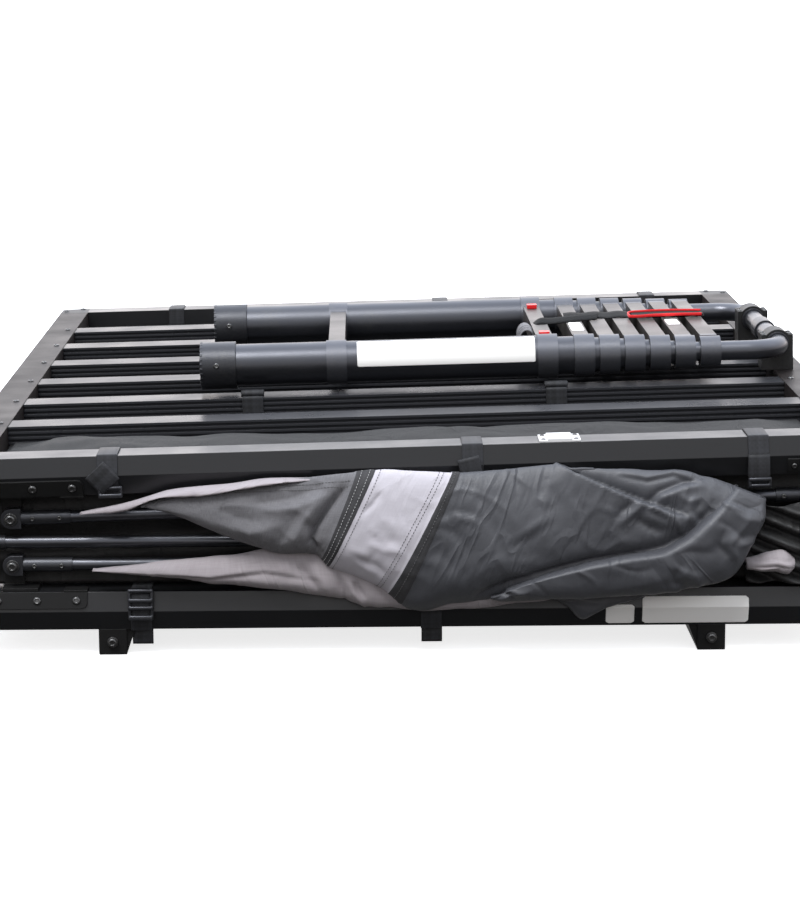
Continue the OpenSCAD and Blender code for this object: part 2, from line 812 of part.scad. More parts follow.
// Cloth tucked in between the front rail and the first slat of the upper half
module lid_skirt() {
    x = inner_x - mattress_gap;
    y0 = -inner_y + floor_gap;
    y1 = slat_y(0) - slat_w / 2 - skirt_gap;
    z0 = 2 * hinge_z - floor_z + soft;
    color(cloth_dark) on_lid()
        bar_x(
            [
                [y0, z0], [y1, z0], [y1, z0 + skirt_low], [(y0 + y1) / 2, z0 + skirt_mid],
                [y0, z0 + skirt_high]
            ],
            -x, x
        );
}

// Webbing over a slat of the upper half, either side of the ladder
module ladder_tie_straps() {
    half = slat_w / 2 + soft;
    top = slat_h + soft;
    color(webbing) on_lid() flip() both_sides() for (x = tie_x)
        translate([x, slat_y(tie_slat_index), slat_z]) difference() {
            translate([-tie_w / 2, -half - strap_t, -soft - strap_t])
                cube([tie_w, 2 * (half + strap_t), slat_h + strap_t]);
            translate([-tie_w / 2 - eps, -half, -soft])
                cube([tie_w + 2 * eps, 2 * half, top + eps]);
        }
}

// Bearing blocks of the ladder's bail, on the upper half's end rail, arched over the tube. A
// pocket underneath clears the slat screw that one of them covers.
module bearing_blocks()
    color(cast_black) on_ladder() difference() {
        both_sides() union() {
            translate([pivot_x - block_w / 2, block_y, -ladder_h]) cube([block_w, block_l, block_h]);
            translate([pivot_x, 0, 0]) rod_y(block_y, block_y + block_l, 2 * block_arch);
        }
        both_sides() translate([pivot_x, 0, 0])
            rod_y(block_y - eps, block_y + block_l + eps, bail_d + 2 * bush_t + 2 * push);
        for (i = [0 : slat_count - 1])
            translate([slat_screw_x, slat_y(i) + ladder_front, -ladder_h - eps])
                cylinder(h = screw_t + block_relief, r = screw_r + block_relief);
    }

module bearing_bushes()
    color(plastic_black) on_ladder() both_sides() translate([pivot_x, 0, 0])
        pipe_y(
            block_y - bush_end, block_y + block_l + bush_end, bail_d + 2 * bush_t, bail_d + 2 * run
        );

module block_bolts()
    both_sides() for (x = [-1, 1], y = [block_bolt_y, block_l - block_bolt_y])
        translate([pivot_x + x * (block_w / 2 - block_bolt_x), block_y + y, block_h - ladder_h])
            cylinder(h = block_bolt_t, r1 = block_bolt_r, r2 = block_bolt_r * 0.8);

module keeper_screws()
    for (x = [-1, 1], y = [keeper_in, rail_w - ridge - keeper_back - 2 * keeper_screw_in])
        translate([keeper_x + x * keeper_w * 0.4, -face_y + y + keeper_screw_in, lid_top + keeper_t])
            cylinder(h = keeper_screw_t, r1 = keeper_screw_r, r2 = keeper_screw_r * 0.7);

module base_screws()
    color(steel) place() {
        frame_screws();
        leaf_screws();
    }

module lid_screws()
    color(steel) {
        on_lid() flip() {
            frame_screws();
            leaf_screws();
        }
        on_lid() keeper_screws();
        on_ladder() block_bolts();
    }

// Ladder bail: the top tubes of both stiles, bent round into one cross tube
module bail_path(d) {
    both_sides() {
        translate([0, ladder_y, 0]) rod_x(tube_x0(section_count), pivot_x - bail_r, d);
        translate([pivot_x - bail_r, ladder_y - bail_r, 0])
            rotate_extrude(angle = 90) translate([bail_r, 0]) circle(d = d);
    }
    translate([pivot_x, 0, 0]) rod_y(-ladder_y + bail_r, ladder_y - bail_r, d);
}

module ladder_bail()
    color(anodised) on_ladder() difference() {
        bail_path(bail_d);
        both_sides() translate([0, ladder_y, 0])
            rod_x(tube_x0(section_count) - eps, pivot_x - bail_r, bail_d - 2 * tube_wall);
    }

// Coupling sleeve in the middle of the cross tube
module bail_sleeve()
    color(plastic_black) on_ladder() translate([pivot_x, 0, 0])
        pipe_y(-coupling_l / 2, coupling_l / 2, bail_d + 2 * coupling_t, bail_d + 2 * push);

module ladder_stiles(k)
    color(anodised) on_ladder() both_sides() translate([0, ladder_y, 0])
        pipe_x(tube_x0(k), collar_x(k), tube_d(k), tube_d(k) - 2 * tube_wall);

// Collar at the top of a stile tube: it is pushed on that tube and guides the next one
module ladder_collar(k) {
    x = collar_x(k);
    seat = tube_d(max(k, 1)) + 2 * push;
    guide = k == 0 || k == section_count ? seat : tube_d(k + 1) + 2 * soft;
    translate([0, ladder_y, 0]) difference() {
        rod_x(x - collar_l / 2, x + collar_l / 2, collar_d(k));
        rod_x(x - collar_l / 2 - eps, x + push, seat);
        rod_x(x, x + collar_l / 2 + eps, guide);
    }
}

// Hollow rung between two collars
module rung(k) {
    w = 2 * ladder_y - collar_d(k) / 2;
    x = collar_x(k);
    difference() {
        translate([x - rung_l / 2, -w / 2, rung_top - rung_h]) cube([rung_l, w, rung_h]);
        translate([x - rung_l / 2 + rung_wall, -w / 2 - eps, rung_top - rung_h + rung_wall])
            cube([rung_l - 2 * rung_wall, w + 2 * eps, rung_h - 2 * rung_wall]);
        both_sides() translate([0, ladder_y, 0])
            rod_x(x - collar_l, x + collar_l, collar_d(k) + 2 * push);
        if (k == 1) both_sides() button_slot();
    }
}

// Slot in the rung's top for the stem of a release button
module button_slot()
    translate([
        collar_x(1) - stem_w / 2 - soft, button_y - stem_w / 2 - button_travel - soft,
        rung_top - rung_wall - eps
    ])
        cube([stem_w + 2 * soft, stem_w + button_travel + 2 * soft, rung_wall + 2 * eps]);

module ladder_step(k)
    color(plastic_black) on_ladder() {
        both_sides() ladder_collar(k);
        rung(k);
        if (k == 1) {
            both_sides() ladder_collar(0);
            rung(0);
        }
    }

module ladder_feet()
    color(plastic_black) on_ladder() both_sides()
        translate([0, ladder_y, 0]) difference() {
            rod_x(foot_x, foot_x + foot_l, 2 * foot_r);
            rod_x(foot_x + foot_wall, foot_x + foot_l + eps, tube_d(1) + 2 * push);
        }

// Release button: a thumb pad on the rung with a stem in its slot
module release_button()
    translate([collar_x(1), button_y, rung_top]) {
        translate([-button_l / 2, -button_l / 2, soft / 2]) cube([button_l, button_l, button_h]);
        translate([-stem_w / 2, -stem_w / 2, -rung_wall - stem_l])
            cube([stem_w, stem_w, rung_wall + stem_l + button_h / 2]);
    }

module release_button_front()
    color("red") on_ladder() mirror([0, 1, 0]) release_button();

module release_button_back() color("red") on_ladder() release_button();

// Strap laid over the closed ladder's rungs
module ladder_strap() {
    x0 = collar_x(2) - rung_l / 2;
    x1 = collar_x(section_count) + rung_l / 2;
    color(webbing) on_ladder() translate([x0, tie_band_y, rung_top + soft])
        cube([x1 - x0, tie_band, strap_t]);
}

place() long_rails();  // base_long_rails
place() side_rails();  // base_side_rails
place() corners();  // base_corners
place() slats();  // base_slats
place() floor_board();  // base_floor
base_screws();
mounting_tracks();
track_brackets();
track_bolts();
base_hinge_plates();
base_pivot_pins();
base_bow_brackets();
place() mattress();  // lower_mattress
canopy_layers();
canopy_front();
canopy_back();
base_straps();
base_buckles();
lower_bow();
lower_bow_fittings();
middle_bow();
middle_bow_fittings();
upper_bow();
upper_bow_fittings();
on_lid() flip() long_rails();  // lid_long_rails
on_lid() flip() side_rails();  // lid_side_rails
on_lid() flip() corners();  // lid_corners
on_lid() flip() slats();  // lid_slats
on_lid() flip() floor_board();  // lid_floor
lid_screws();
lid_hinge_plates();
lid_pivot_pins();
lid_bow_brackets();
on_lid() flip() mattress();  // upper_mattress
lid_straps();
lid_buckles();
keeper_plate();
lid_skirt();
bearing_blocks();
bearing_bushes();
ladder_tie_straps();
ladder_bail();
bail_sleeve();
ladder_strap();
ladder_stiles(1);  // ladder_stiles_1
ladder_stiles(2);  // ladder_stiles_2
ladder_stiles(3);  // ladder_stiles_3
ladder_stiles(4);  // ladder_stiles_4
ladder_stiles(5);  // ladder_stiles_5
ladder_stiles(6);  // ladder_stiles_6
ladder_step(1);  // ladder_step_1
ladder_step(2);  // ladder_step_2
ladder_step(3);  // ladder_step_3
ladder_step(4);  // ladder_step_4
ladder_step(5);  // ladder_step_5
ladder_step(6);  // ladder_step_6
ladder_step(7);  // ladder_step_7
ladder_feet();
release_button_front();
release_button_back();
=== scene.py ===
# %% [markdown]
# # A folded roof top tent
#
# The tent lies folded and uncovered: two black frame halves hinged at the left, the canopy
# cloth squeezed between them, and a telescopic ladder stowed on top. The rigid pieces come
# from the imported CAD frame. This lesson gives them their finishes and adds everything soft.

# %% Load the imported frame
import functools
import math

import bmesh
import bpy
import numpy as np
from mathutils import Matrix, Vector


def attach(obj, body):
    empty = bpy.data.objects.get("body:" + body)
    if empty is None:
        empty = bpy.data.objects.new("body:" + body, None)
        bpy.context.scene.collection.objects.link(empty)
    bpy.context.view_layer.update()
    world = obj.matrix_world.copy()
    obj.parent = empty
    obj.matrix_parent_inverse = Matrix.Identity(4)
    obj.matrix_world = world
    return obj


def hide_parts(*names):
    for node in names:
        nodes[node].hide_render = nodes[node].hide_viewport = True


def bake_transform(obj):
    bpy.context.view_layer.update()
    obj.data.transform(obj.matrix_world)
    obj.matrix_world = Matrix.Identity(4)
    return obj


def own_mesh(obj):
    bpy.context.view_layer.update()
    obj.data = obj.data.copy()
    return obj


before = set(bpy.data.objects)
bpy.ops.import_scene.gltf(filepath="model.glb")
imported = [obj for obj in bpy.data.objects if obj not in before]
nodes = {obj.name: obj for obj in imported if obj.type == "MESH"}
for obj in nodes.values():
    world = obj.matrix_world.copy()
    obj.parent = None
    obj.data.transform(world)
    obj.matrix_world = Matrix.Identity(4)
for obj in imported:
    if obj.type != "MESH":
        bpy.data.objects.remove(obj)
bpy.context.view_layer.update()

# %% [markdown]
# ## Frames of reference
#
# All places below are written in millimetres from the middle of the frame, as a maker would
# measure them. The lower half lies flat. The upper half is propped open a little by the packed
# cloth, so its places are turned about the hinge line at the left end. The ladder lies on the
# upper half and has an origin of its own. Three small functions turn such numbers into metres
# in the shared frame, one point or a whole array at a time.

# %% Places on the two halves and on the ladder
MM = 0.001
CENTRE_X = 8.0
HINGE_X, HINGE_Z = -603.0, 146.0
LID_TILT = math.radians(1.33)
LADDER_Y, LADDER_Z = -42.0, 297.5


def on_base(p):
    """Millimetres on the lower half to metres in the shared frame."""
    p = np.asarray(p, float)
    return (p + np.array([CENTRE_X, 0.0, 0.0])) * MM


def on_lid(p):
    """Millimetres on the upper half, before it is propped open, to metres."""
    p = np.array(p, float)
    x, z = p[..., 0] - HINGE_X, p[..., 2] - HINGE_Z
    c, s = math.cos(LID_TILT), math.sin(LID_TILT)
    p[..., 0] = HINGE_X + c * x - s * z
    p[..., 2] = HINGE_Z + s * x + c * z
    return on_base(p)


def on_ladder(p):
    """Millimetres from the middle of the ladder's axis plane to metres."""
    return on_lid(np.asarray(p, float) + np.array([0.0, LADDER_Y, LADDER_Z]))


print("hinge line at", on_base((HINGE_X, 0, HINGE_Z)).round(3))

# %% [markdown]
# ## Camera
#
# The view is from the long side, a little above, with a long lens, so that the lines along the
# tent stay nearly parallel. The lens follows from the picture's 900 pixels on its long side.

# %% Camera
CAMERA_AT = (-65.6, -4041.1, 921.3)
CAMERA_YAW, CAMERA_PITCH, CAMERA_ROLL = 0.0150, 0.1927, 0.0043
FOCAL_PIXELS, LONG_SIDE = 2662.4, 900.0


def make_camera():
    data = bpy.data.cameras.new("camera")
    data.sensor_width = 36.0
    data.lens = FOCAL_PIXELS * data.sensor_width / LONG_SIDE
    cy, sy = math.cos(CAMERA_YAW), math.sin(CAMERA_YAW)
    cp, sp = math.cos(CAMERA_PITCH), math.sin(CAMERA_PITCH)
    ahead = Vector((sy * cp, cy * cp, -sp))
    right = Vector((cy, -sy, 0.0))
    up = right.cross(ahead)
    cr, sr = math.cos(CAMERA_ROLL), math.sin(CAMERA_ROLL)
    right, up = right * cr - up * sr, right * sr + up * cr
    camera = bpy.data.objects.new("camera", data)
    turn = Matrix((right, up, -ahead)).transposed().to_4x4()
    camera.matrix_world = Matrix.Translation(on_base(CAMERA_AT)) @ turn
    bpy.context.collection.objects.link(camera)
    bpy.context.scene.camera = camera
    return camera


camera = make_camera()
print("camera at", tuple(round(x, 3) for x in camera.location), "lens", round(camera.data.lens, 1))

# %% [markdown]
# ## Wiring of shader nodes
#
# The sky and all finishes are built from shader nodes. Small helpers keep the wiring short: one
# sets a socket to a number, or links it if it gets another socket. The others add a node, some
# arithmetic or a ramp between two values, and make or use a node group.

# %% Node helpers
def feed(tree, socket, value):
    if isinstance(value, bpy.types.NodeSocket):
        tree.links.new(value, socket)
    else:
        socket.default_value = value


def add(tree, kind, values=None, **settings):
    """New node of the tree's own family, or of another one if kind is a full name."""
    made = tree.nodes.new(kind if "Node" in kind else tree.bl_idname.replace("Tree", "") + kind)
    for key, value in settings.items():
        setattr(made, key, value)
    for key, value in (values or {}).items():
        feed(tree, made.inputs[key], value)
    return made


def maths(tree, operation, a, b=0.0, clamp=False):
    made = add(tree, "Math", {0: a, 1: b}, operation=operation, use_clamp=clamp)
    return made.outputs[0]


def ramp_between(tree, value, low, high, to_low=0.0, to_high=1.0):
    made = add(tree, "MapRange", {"Value": value, "From Min": low, "From Max": high,
                                  "To Min": to_low, "To Max": to_high})
    return made.outputs["Result"]


def noise(tree, place, scale, detail, **more):
    return add(tree, "TexNoise", {"Vector": place, "Scale": scale, "Detail": detail, **more}).outputs[0]


def new_group(name, family, inputs, outputs):
    """Node group of a family with named sockets, given as label and kind."""
    group = bpy.data.node_groups.new(name, family + "NodeTree")
    for way, sockets in (("INPUT", inputs), ("OUTPUT", outputs)):
        for label, kind in sockets.items():
            group.interface.new_socket(name=label, in_out=way, socket_type="NodeSocket" + kind)
    return group, group.nodes.new("NodeGroupInput").outputs, group.nodes.new("NodeGroupOutput").inputs


def new_finish(name):
    finish = bpy.data.materials.new(name)
    finish.use_nodes = True
    tree = finish.node_tree
    return finish, tree, tree.nodes["Principled BSDF"].inputs


def use_group(tree, group, **values):
    return add(tree, "Group", values, node_tree=group).outputs


# %% [markdown]
# ## Floor and light
#
# The tent stands on a plain pale floor. Coated black metal shows almost nothing of its own
# colour: what one sees are reflections. So there is a warm bright wall low down at the back,
# which the tops of the slats mirror, a cool bright ceiling and a dimmer room in front. One large
# soft lamp high above the front gives the folds of the cloth their shape, and two weak ones open
# up the shadows. The floor glows a little, so that it stays white below the tent as well.

# %% Floor, sky and lamps
FLOOR_RADIUS, FLOOR_CORNERS, FLOOR_Z = 400.0, 64, -0.0005
FLOOR_LOOK = {"Base Color": (0.94, 0.94, 0.94, 1), "Roughness": 0.9, "Specular IOR Level": 0.1,
              "Emission Color": (1, 1, 1, 1), "Emission Strength": 0.78}
# How high a direction points, from the horizon up, and the colour of the sky there
SKY_STOPS = [(0.0, (0.1, 0.1, 0.1, 1)), (0.012, (1.0, 0.91, 0.87, 1)),
             (0.32, (0.7, 0.71, 0.75, 1)), (0.75, (0.58, 0.62, 0.7, 1))]
# The sky gets stronger from front to back and upwards: range of the direction, range of strength
SKY_DEPTH, SKY_HEIGHT = (-0.6, 1.0, 0.6, 2.9), (0.2, 0.85, 1.0, 2.0)
# Name, where the light comes from, its softness in degrees and its power
SUNS = [("key", (-1.2, -1.9, 4.4), 26, 2.4), ("front", (0.4, -3.0, 1.6), 60, 0.32),
        ("side", (2.5, -1.0, 2.5), 50, 0.35)]


def make_floor():
    turn = np.linspace(0, 2 * math.pi, FLOOR_CORNERS, endpoint=False)
    corners = [(math.cos(a) * FLOOR_RADIUS, math.sin(a) * FLOOR_RADIUS, FLOOR_Z) for a in turn]
    mesh = bpy.data.meshes.new("floor")
    mesh.from_pydata(corners, [], [list(range(FLOOR_CORNERS))])
    paper, tree, shader = new_finish("pale_floor")
    for label, value in FLOOR_LOOK.items():
        feed(tree, shader[label], value)
    mesh.materials.append(paper)
    floor = bpy.data.objects.new("floor", mesh)
    floor.visible_diffuse = floor.visible_glossy = False
    bpy.context.collection.objects.link(floor)


def make_sky():
    world = bpy.data.worlds.new("studio")
    world.use_nodes = True
    bpy.context.scene.world = world
    tree = world.node_tree
    way = add(tree, "SeparateXYZ", {0: add(tree, "TexCoord").outputs["Generated"]}).outputs
    ramp = add(tree, "ValToRGB", {"Fac": way["Z"]})
    stops = ramp.color_ramp.elements
    while len(stops) < len(SKY_STOPS):
        stops.new(1.0)
    for stop, (position, colour) in zip(stops, SKY_STOPS):
        stop.position, stop.color = position, colour
    depth = ramp_between(tree, way["Y"], *SKY_DEPTH)
    height = ramp_between(tree, way["Z"], *SKY_HEIGHT)
    back = tree.nodes["Background"].inputs
    feed(tree, back["Color"], ramp.outputs["Color"])
    feed(tree, back["Strength"], maths(tree, "MULTIPLY", depth, height))


def make_sun(name, come_from, softness, power):
    data = bpy.data.lights.new(name, "SUN")
    data.angle = math.radians(softness)
    data.energy = power
    lamp = bpy.data.objects.new(name, data)
    lamp.location = Vector(come_from)
    lamp.rotation_euler = Vector(come_from).to_track_quat("Z", "Y").to_euler()
    bpy.context.collection.objects.link(lamp)


make_floor()
make_sky()
for sun in SUNS:
    make_sun(*sun)
bpy.context.scene.view_settings.view_transform = "Standard"
print("floor, sky and", len(SUNS), "lamps")

# %% [markdown]
# ## Shader groups
#
# Several finishes share the same effects: a fine grain, patches of dust and rubbing, a plain
# weave of threads, the small sharp creases of crumpled cloth, and the mottled look of yarn. Each
# effect is built once as a node group with named inputs, and each material sets its own values.

# %% Grain, rubbing, weave, creases and yarn
def new_effect(name, numbers, results):
    """Shader group that takes a place and some numbers, and gives numbers."""
    inputs = {"Vector": "Vector", **dict.fromkeys(numbers, "Float")}
    return new_group(name, "Shader", inputs, dict.fromkeys(results, "Float"))


def build_grain():
    g, into, out = new_effect("fine_grain", ["Scale"], ["Height", "Mottle"])
    feed(g, out["Height"], noise(g, into["Vector"], into["Scale"], 2.0))
    feed(g, out["Mottle"], noise(g, into["Vector"], 14.0, 3.0))
    return g


def build_rubbing():
    g, into, out = new_effect("rubbing", ["Scale", "Share"], ["Mask"])
    patch = noise(g, into["Vector"], into["Scale"], 6.0, Roughness=0.65)
    edge = maths(g, "SUBTRACT", 1.0, into["Share"])
    worn = ramp_between(g, patch, maths(g, "MULTIPLY", edge, 0.72), 0.8)
    grit = ramp_between(g, noise(g, into["Vector"], 260.0, 2.0), 0.35, 0.75)
    feed(g, out["Mask"], maths(g, "MULTIPLY", worn, grit, True))
    return g


def build_weave():
    g, into, out = new_effect("plain_weave", ["Threads"], ["Height"])
    split = add(g, "SeparateXYZ", {0: into["Vector"]}).outputs
    turns = maths(g, "MULTIPLY", into["Threads"], math.pi)
    warp, weft = [maths(g, "SINE", maths(g, "MULTIPLY", split[axis], turns)) for axis in (0, 1)]
    cross = maths(g, "MULTIPLY", warp, weft)
    lifted = add(g, "Math", {0: cross, 1: 0.5, 2: 0.5}, operation="MULTIPLY_ADD")
    feed(g, out["Height"], lifted.outputs[0])
    return g


def build_crumple():
    g, into, out = new_effect("crumple", ["Scale"], ["Height"])
    lean = add(g, "Mapping", {"Vector": into["Vector"], "Rotation": (0.0, 0.0, 0.7),
                              "Scale": (1.0, 0.4, 1.0)})
    broad = noise(g, lean.outputs[0], into["Scale"], 1.5, Distortion=0.6)
    ridge = maths(g, "ABSOLUTE", maths(g, "SUBTRACT", broad, 0.5))
    crest = ramp_between(g, ridge, 0.0, 0.11, 1.0, 0.0)
    share = ramp_between(g, noise(g, into["Vector"], 7.0, 1.0), 0.41, 0.56)
    feed(g, out["Height"], maths(g, "MULTIPLY", crest, share))
    return g


def build_yarn():
    g, into, out = new_effect("mottled_yarn", ["Scale"], ["Mottle", "Cloud"])
    yarns = []
    for stretch in ((1.0, 0.06, 1.0), (0.06, 1.0, 1.0)):
        drawn = add(g, "Mapping", {"Vector": into["Vector"], "Scale": stretch})
        yarns.append(noise(g, drawn.outputs[0], into["Scale"], 2.0))
    feed(g, out["Mottle"], ramp_between(g, maths(g, "ADD", *yarns), 0.75, 1.25))
    feed(g, out["Cloud"], noise(g, into["Vector"], 9.0, 3.0))
    return g


grain_group = build_grain()
rubbing_group = build_rubbing()
weave_group = build_weave()
crumple_group = build_crumple()
yarn_group = build_yarn()
print("shader groups:", [g.name for g in bpy.data.node_groups])

# %% [markdown]
# ## Finishes
#
# The frame is extruded aluminium with a fine black powder coat, the ladder is painted tube with
# moulded collars, and the cloth is coated polyester in charcoal and light grey. One function per
# family of finish keeps them alike, and one table per family holds the values that differ.
# Numbers that are the same all over a surface are set on the shader itself; only what varies is
# wired in. Pieces name their finishes, and the makers of pieces look them up.

# %% Finish builders
def mix_colours(tree, share, one, two):
    return add(tree, "Mix", {0: share, 6: one, 7: two}, data_type="RGBA").outputs[2]


def bump(tree, shader, height, strength, distance, under=None):
    """Relief on a surface, on top of the normal under it if there is one."""
    made = add(tree, "Bump", {"Height": height, "Strength": strength, "Distance": distance})
    if under is not None:
        feed(tree, made.inputs["Normal"], under)
    feed(tree, shader["Normal"], made.outputs[0])
    return made.outputs[0]


def grey(value, tint=(1.0, 1.0, 1.0)):
    return tuple(value * t for t in tint) + (1.0,)


# Tints of the greys, and the radius that light sees on hard edges, in metres
COOL = (0.95, 0.98, 1.1)
HEATHER = (1.0, 0.985, 1.04)
EDGE_ROUND = 0.0012


def hard_finish(name, colour, dusty, rough, grain, strength, rub, metal=0.0, gloss=0.45):
    """Painted, coated or moulded surface with grain, rubbed patches and light rounded off on its edges."""
    finish, tree, shader = new_finish(name)
    place = add(tree, "TexCoord").outputs["Object"]
    fine = use_group(tree, grain_group, Vector=place, Scale=grain)
    worn = use_group(tree, rubbing_group, Vector=place, Scale=11.0, Share=rub)
    feed(tree, shader["Base Color"], mix_colours(tree, worn["Mask"], colour, dusty))
    sheen = ramp_between(tree, fine["Mottle"], 0.3, 0.7, rough - 0.06, rough + 0.06)
    dulled = add(tree, "Math", {0: worn["Mask"], 1: 0.12, 2: sheen}, operation="MULTIPLY_ADD")
    feed(tree, shader["Roughness"], dulled.outputs[0])
    shader["Metallic"].default_value = metal
    shader["Specular IOR Level"].default_value = gloss
    edges = add(tree, "Bevel", {"Radius": EDGE_ROUND}, samples=8).outputs[0]
    bump(tree, shader, fine["Height"], strength, 0.0004, edges)
    return finish


def cloth_finish(name, colour, shade, threads, rough, sheen, mottle, crease=0.0, gloss=0.35):
    """Woven cloth: weave and yarn follow the piece's own UV map, which is in metres."""
    finish, tree, shader = new_finish(name)
    place = add(tree, "TexCoord").outputs["UV"]
    weave = use_group(tree, weave_group, Vector=place, Threads=threads)
    yarn = use_group(tree, yarn_group, Vector=place, Scale=threads * 0.5)
    share = maths(tree, "MULTIPLY", yarn["Mottle"], mottle)
    cloud = ramp_between(tree, yarn["Cloud"], 0.35, 0.65, 0.0, 0.3)
    share = maths(tree, "ADD", share, cloud, True)
    feed(tree, shader["Base Color"], mix_colours(tree, share, colour, shade))
    uneven = ramp_between(tree, weave["Height"], 0.0, 1.0, rough + 0.08, rough - 0.05)
    feed(tree, shader["Roughness"], uneven)
    shader["Sheen Weight"].default_value = sheen
    shader["Sheen Roughness"].default_value = 0.4
    shader["Specular IOR Level"].default_value = gloss
    under = None
    if crease:
        small = use_group(tree, crumple_group, Vector=place, Scale=34.0)
        under = bump(tree, shader, small["Height"], 1.0, crease)
    bump(tree, shader, weave["Height"], 0.35, 0.0003, under)
    return finish


# %% All finishes
HARD_FINISHES = {
    # colour, colour where rubbed, roughness, scale and strength of the grain, rubbed share, metal, gloss
    "frame_coat": (grey(0.011, COOL), grey(0.02), 0.34, 1400.0, 0.14, 0.12, 0.0, 0.5),
    "side_coat": ((0.02, 0.017, 0.0165, 1), grey(0.025), 0.45, 1400.0, 0.14, 0.12, 0.0, 0.1),
    "slat_coat": (grey(0.032, COOL), grey(0.036), 0.3, 1400.0, 0.05, 0.06, 0.0, 0.1),
    "cast_coat": (grey(0.012), grey(0.05), 0.5, 700.0, 0.35, 0.4),
    "bracket_coat": (grey(0.01), grey(0.03), 0.5, 900.0, 0.25, 0.3, 0.0, 0.22),
    "tube_coat": (grey(0.11, COOL), grey(0.13), 0.34, 1200.0, 0.1, 0.25, 0.9),
    "ladder_paint": (grey(0.085, COOL), grey(0.1), 0.36, 1000.0, 0.08, 0.3, 0.95),
    "moulded_black": (grey(0.07, COOL), grey(0.09), 0.4, 600.0, 0.2, 0.35, 0.8),
    "foot_rubber": (grey(0.055, COOL), grey(0.08), 0.42, 420.0, 0.3, 0.4, 0.8),
    "board_coat": (grey(0.008), grey(0.03), 0.75, 300.0, 0.3, 0.3),
    "dark_steel": (grey(0.12), grey(0.2), 0.3, 1500.0, 0.1, 0.3, 0.9),
    "red_moulding": ((0.75, 0.012, 0.016, 1), (0.5, 0.03, 0.03, 1), 0.35, 500.0, 0.1, 0.2),
    "keeper_white": (grey(0.78), grey(0.6), 0.35, 800.0, 0.08, 0.3),
    "blank_label": ((0.95, 0.94, 0.91, 1), (0.88, 0.86, 0.82, 1), 0.4, 300.0, 0.05, 0.25),
    "thread_light": (grey(0.5), grey(0.38), 0.7, 2500.0, 0.1, 0.4, 0.0, 0.2),
    "thread_dark": (grey(0.15), grey(0.1), 0.7, 2500.0, 0.1, 0.4, 0.0, 0.2),
}
CLOTH_FINISHES = {
    # colour, colour of other yarns, threads in a metre, roughness, sheen, share of them, creases, gloss
    "canopy_charcoal": (grey(0.075, COOL), grey(0.058, COOL), 1500.0, 0.4, 0.03, 0.35, 0.0012, 0.5),
    "canopy_heather": (grey(0.187, HEATHER), grey(0.117, HEATHER), 2200.0, 0.8, 0.1, 0.7, 0.0008),
    "canopy_light": ((0.53, 0.51, 0.55, 1), (0.45, 0.43, 0.47, 1), 1200.0, 0.7, 0.1, 0.4, 0.0008),
    "canopy_inner": ((0.36, 0.33, 0.345, 1), (0.28, 0.25, 0.26, 1), 1000.0, 0.75, 0.1, 0.5, 0.0008),
    "canopy_binding": (grey(0.05, HEATHER), grey(0.028, HEATHER), 600.0, 0.75, 0.1, 0.5),
    # Near-black lining: partly the cloth's own dark colour, partly painted shade for the gap between the
    # frames
    "dark_lining": (grey(0.024), grey(0.012), 900.0, 0.5, 0.05, 0.4, 0.001),
    "skirt_cloth": (grey(0.034), grey(0.024), 900.0, 0.7, 0.0, 0.4, 0.001, 0.12),
    "mattress_cover": (grey(0.1), grey(0.05), 500.0, 0.8, 0.2, 0.5),
    "webbing_black": (grey(0.045, COOL), grey(0.02), 300.0, 0.5, 0.02, 0.6, 0.0, 0.15),
    "strap_black": (grey(0.008), grey(0.004), 300.0, 0.6, 0.0, 0.6, 0.0, 0.08),
    "webbing_red": ((0.8, 0.012, 0.018, 1), (0.55, 0.01, 0.012, 1), 300.0, 0.6, 0.2, 0.5),
}
looks = {name: hard_finish(name, *values) for name, values in HARD_FINISHES.items()}
looks.update({name: cloth_finish(name, *values) for name, values in CLOTH_FINISHES.items()})
print("finishes:", len(looks))

# %% [markdown]
# ## The ladder steps' two finishes
#
# A rung and its two collars are one CAD node, but the rung is a bare bronze-grey bar and the
# collars are black mouldings. Their places differ plainly: the collars sit on the stiles, the
# rung between them. So one material reads how far a point lies from the ladder's middle line,
# and changes colour, gloss and metal there. The collars get smaller towards the ladder's head,
# so the place where the rung ends depends on how far along it is.

# %% Rung and collar finish
# Place along the ladder and half the length of the bare bar there, in metres
FIRST_RUNG, LAST_RUNG = (0.213, 0.1638), (0.448, 0.1734)


def step_finish():
    finish, tree, shader = new_finish("rung_and_collar")
    place = add(tree, "TexCoord").outputs["Object"]
    split = add(tree, "SeparateXYZ", {0: place}).outputs
    away = maths(tree, "ABSOLUTE", maths(tree, "SUBTRACT", split[1], LADDER_Y * MM))
    half = ramp_between(tree, split[0], FIRST_RUNG[0], LAST_RUNG[0], FIRST_RUNG[1], LAST_RUNG[1])
    rung = maths(tree, "LESS_THAN", away, half)
    fine = use_group(tree, grain_group, Vector=place, Scale=700.0)
    worn = use_group(tree, rubbing_group, Vector=place, Scale=16.0, Share=0.45)
    moulded = mix_colours(tree, worn["Mask"], grey(0.115, COOL), grey(0.14))
    bare = mix_colours(tree, worn["Mask"], (0.062, 0.056, 0.053, 1), (0.085, 0.078, 0.074, 1))
    feed(tree, shader["Base Color"], mix_colours(tree, rung, moulded, bare))
    feed(tree, shader["Metallic"], maths(tree, "SUBTRACT", 0.85, maths(tree, "MULTIPLY", rung, 0.7)))
    rough = ramp_between(tree, fine["Mottle"], 0.3, 0.7, 0.36, 0.48)
    feed(tree, shader["Roughness"], maths(tree, "SUBTRACT", rough, maths(tree, "MULTIPLY", rung, 0.04)))
    shader["Specular IOR Level"].default_value = 0.15
    bump(tree, shader, fine["Height"], 0.25, 0.0004)
    return finish


looks["rung_and_collar"] = step_finish()
print("with the ladder's steps:", len(looks))

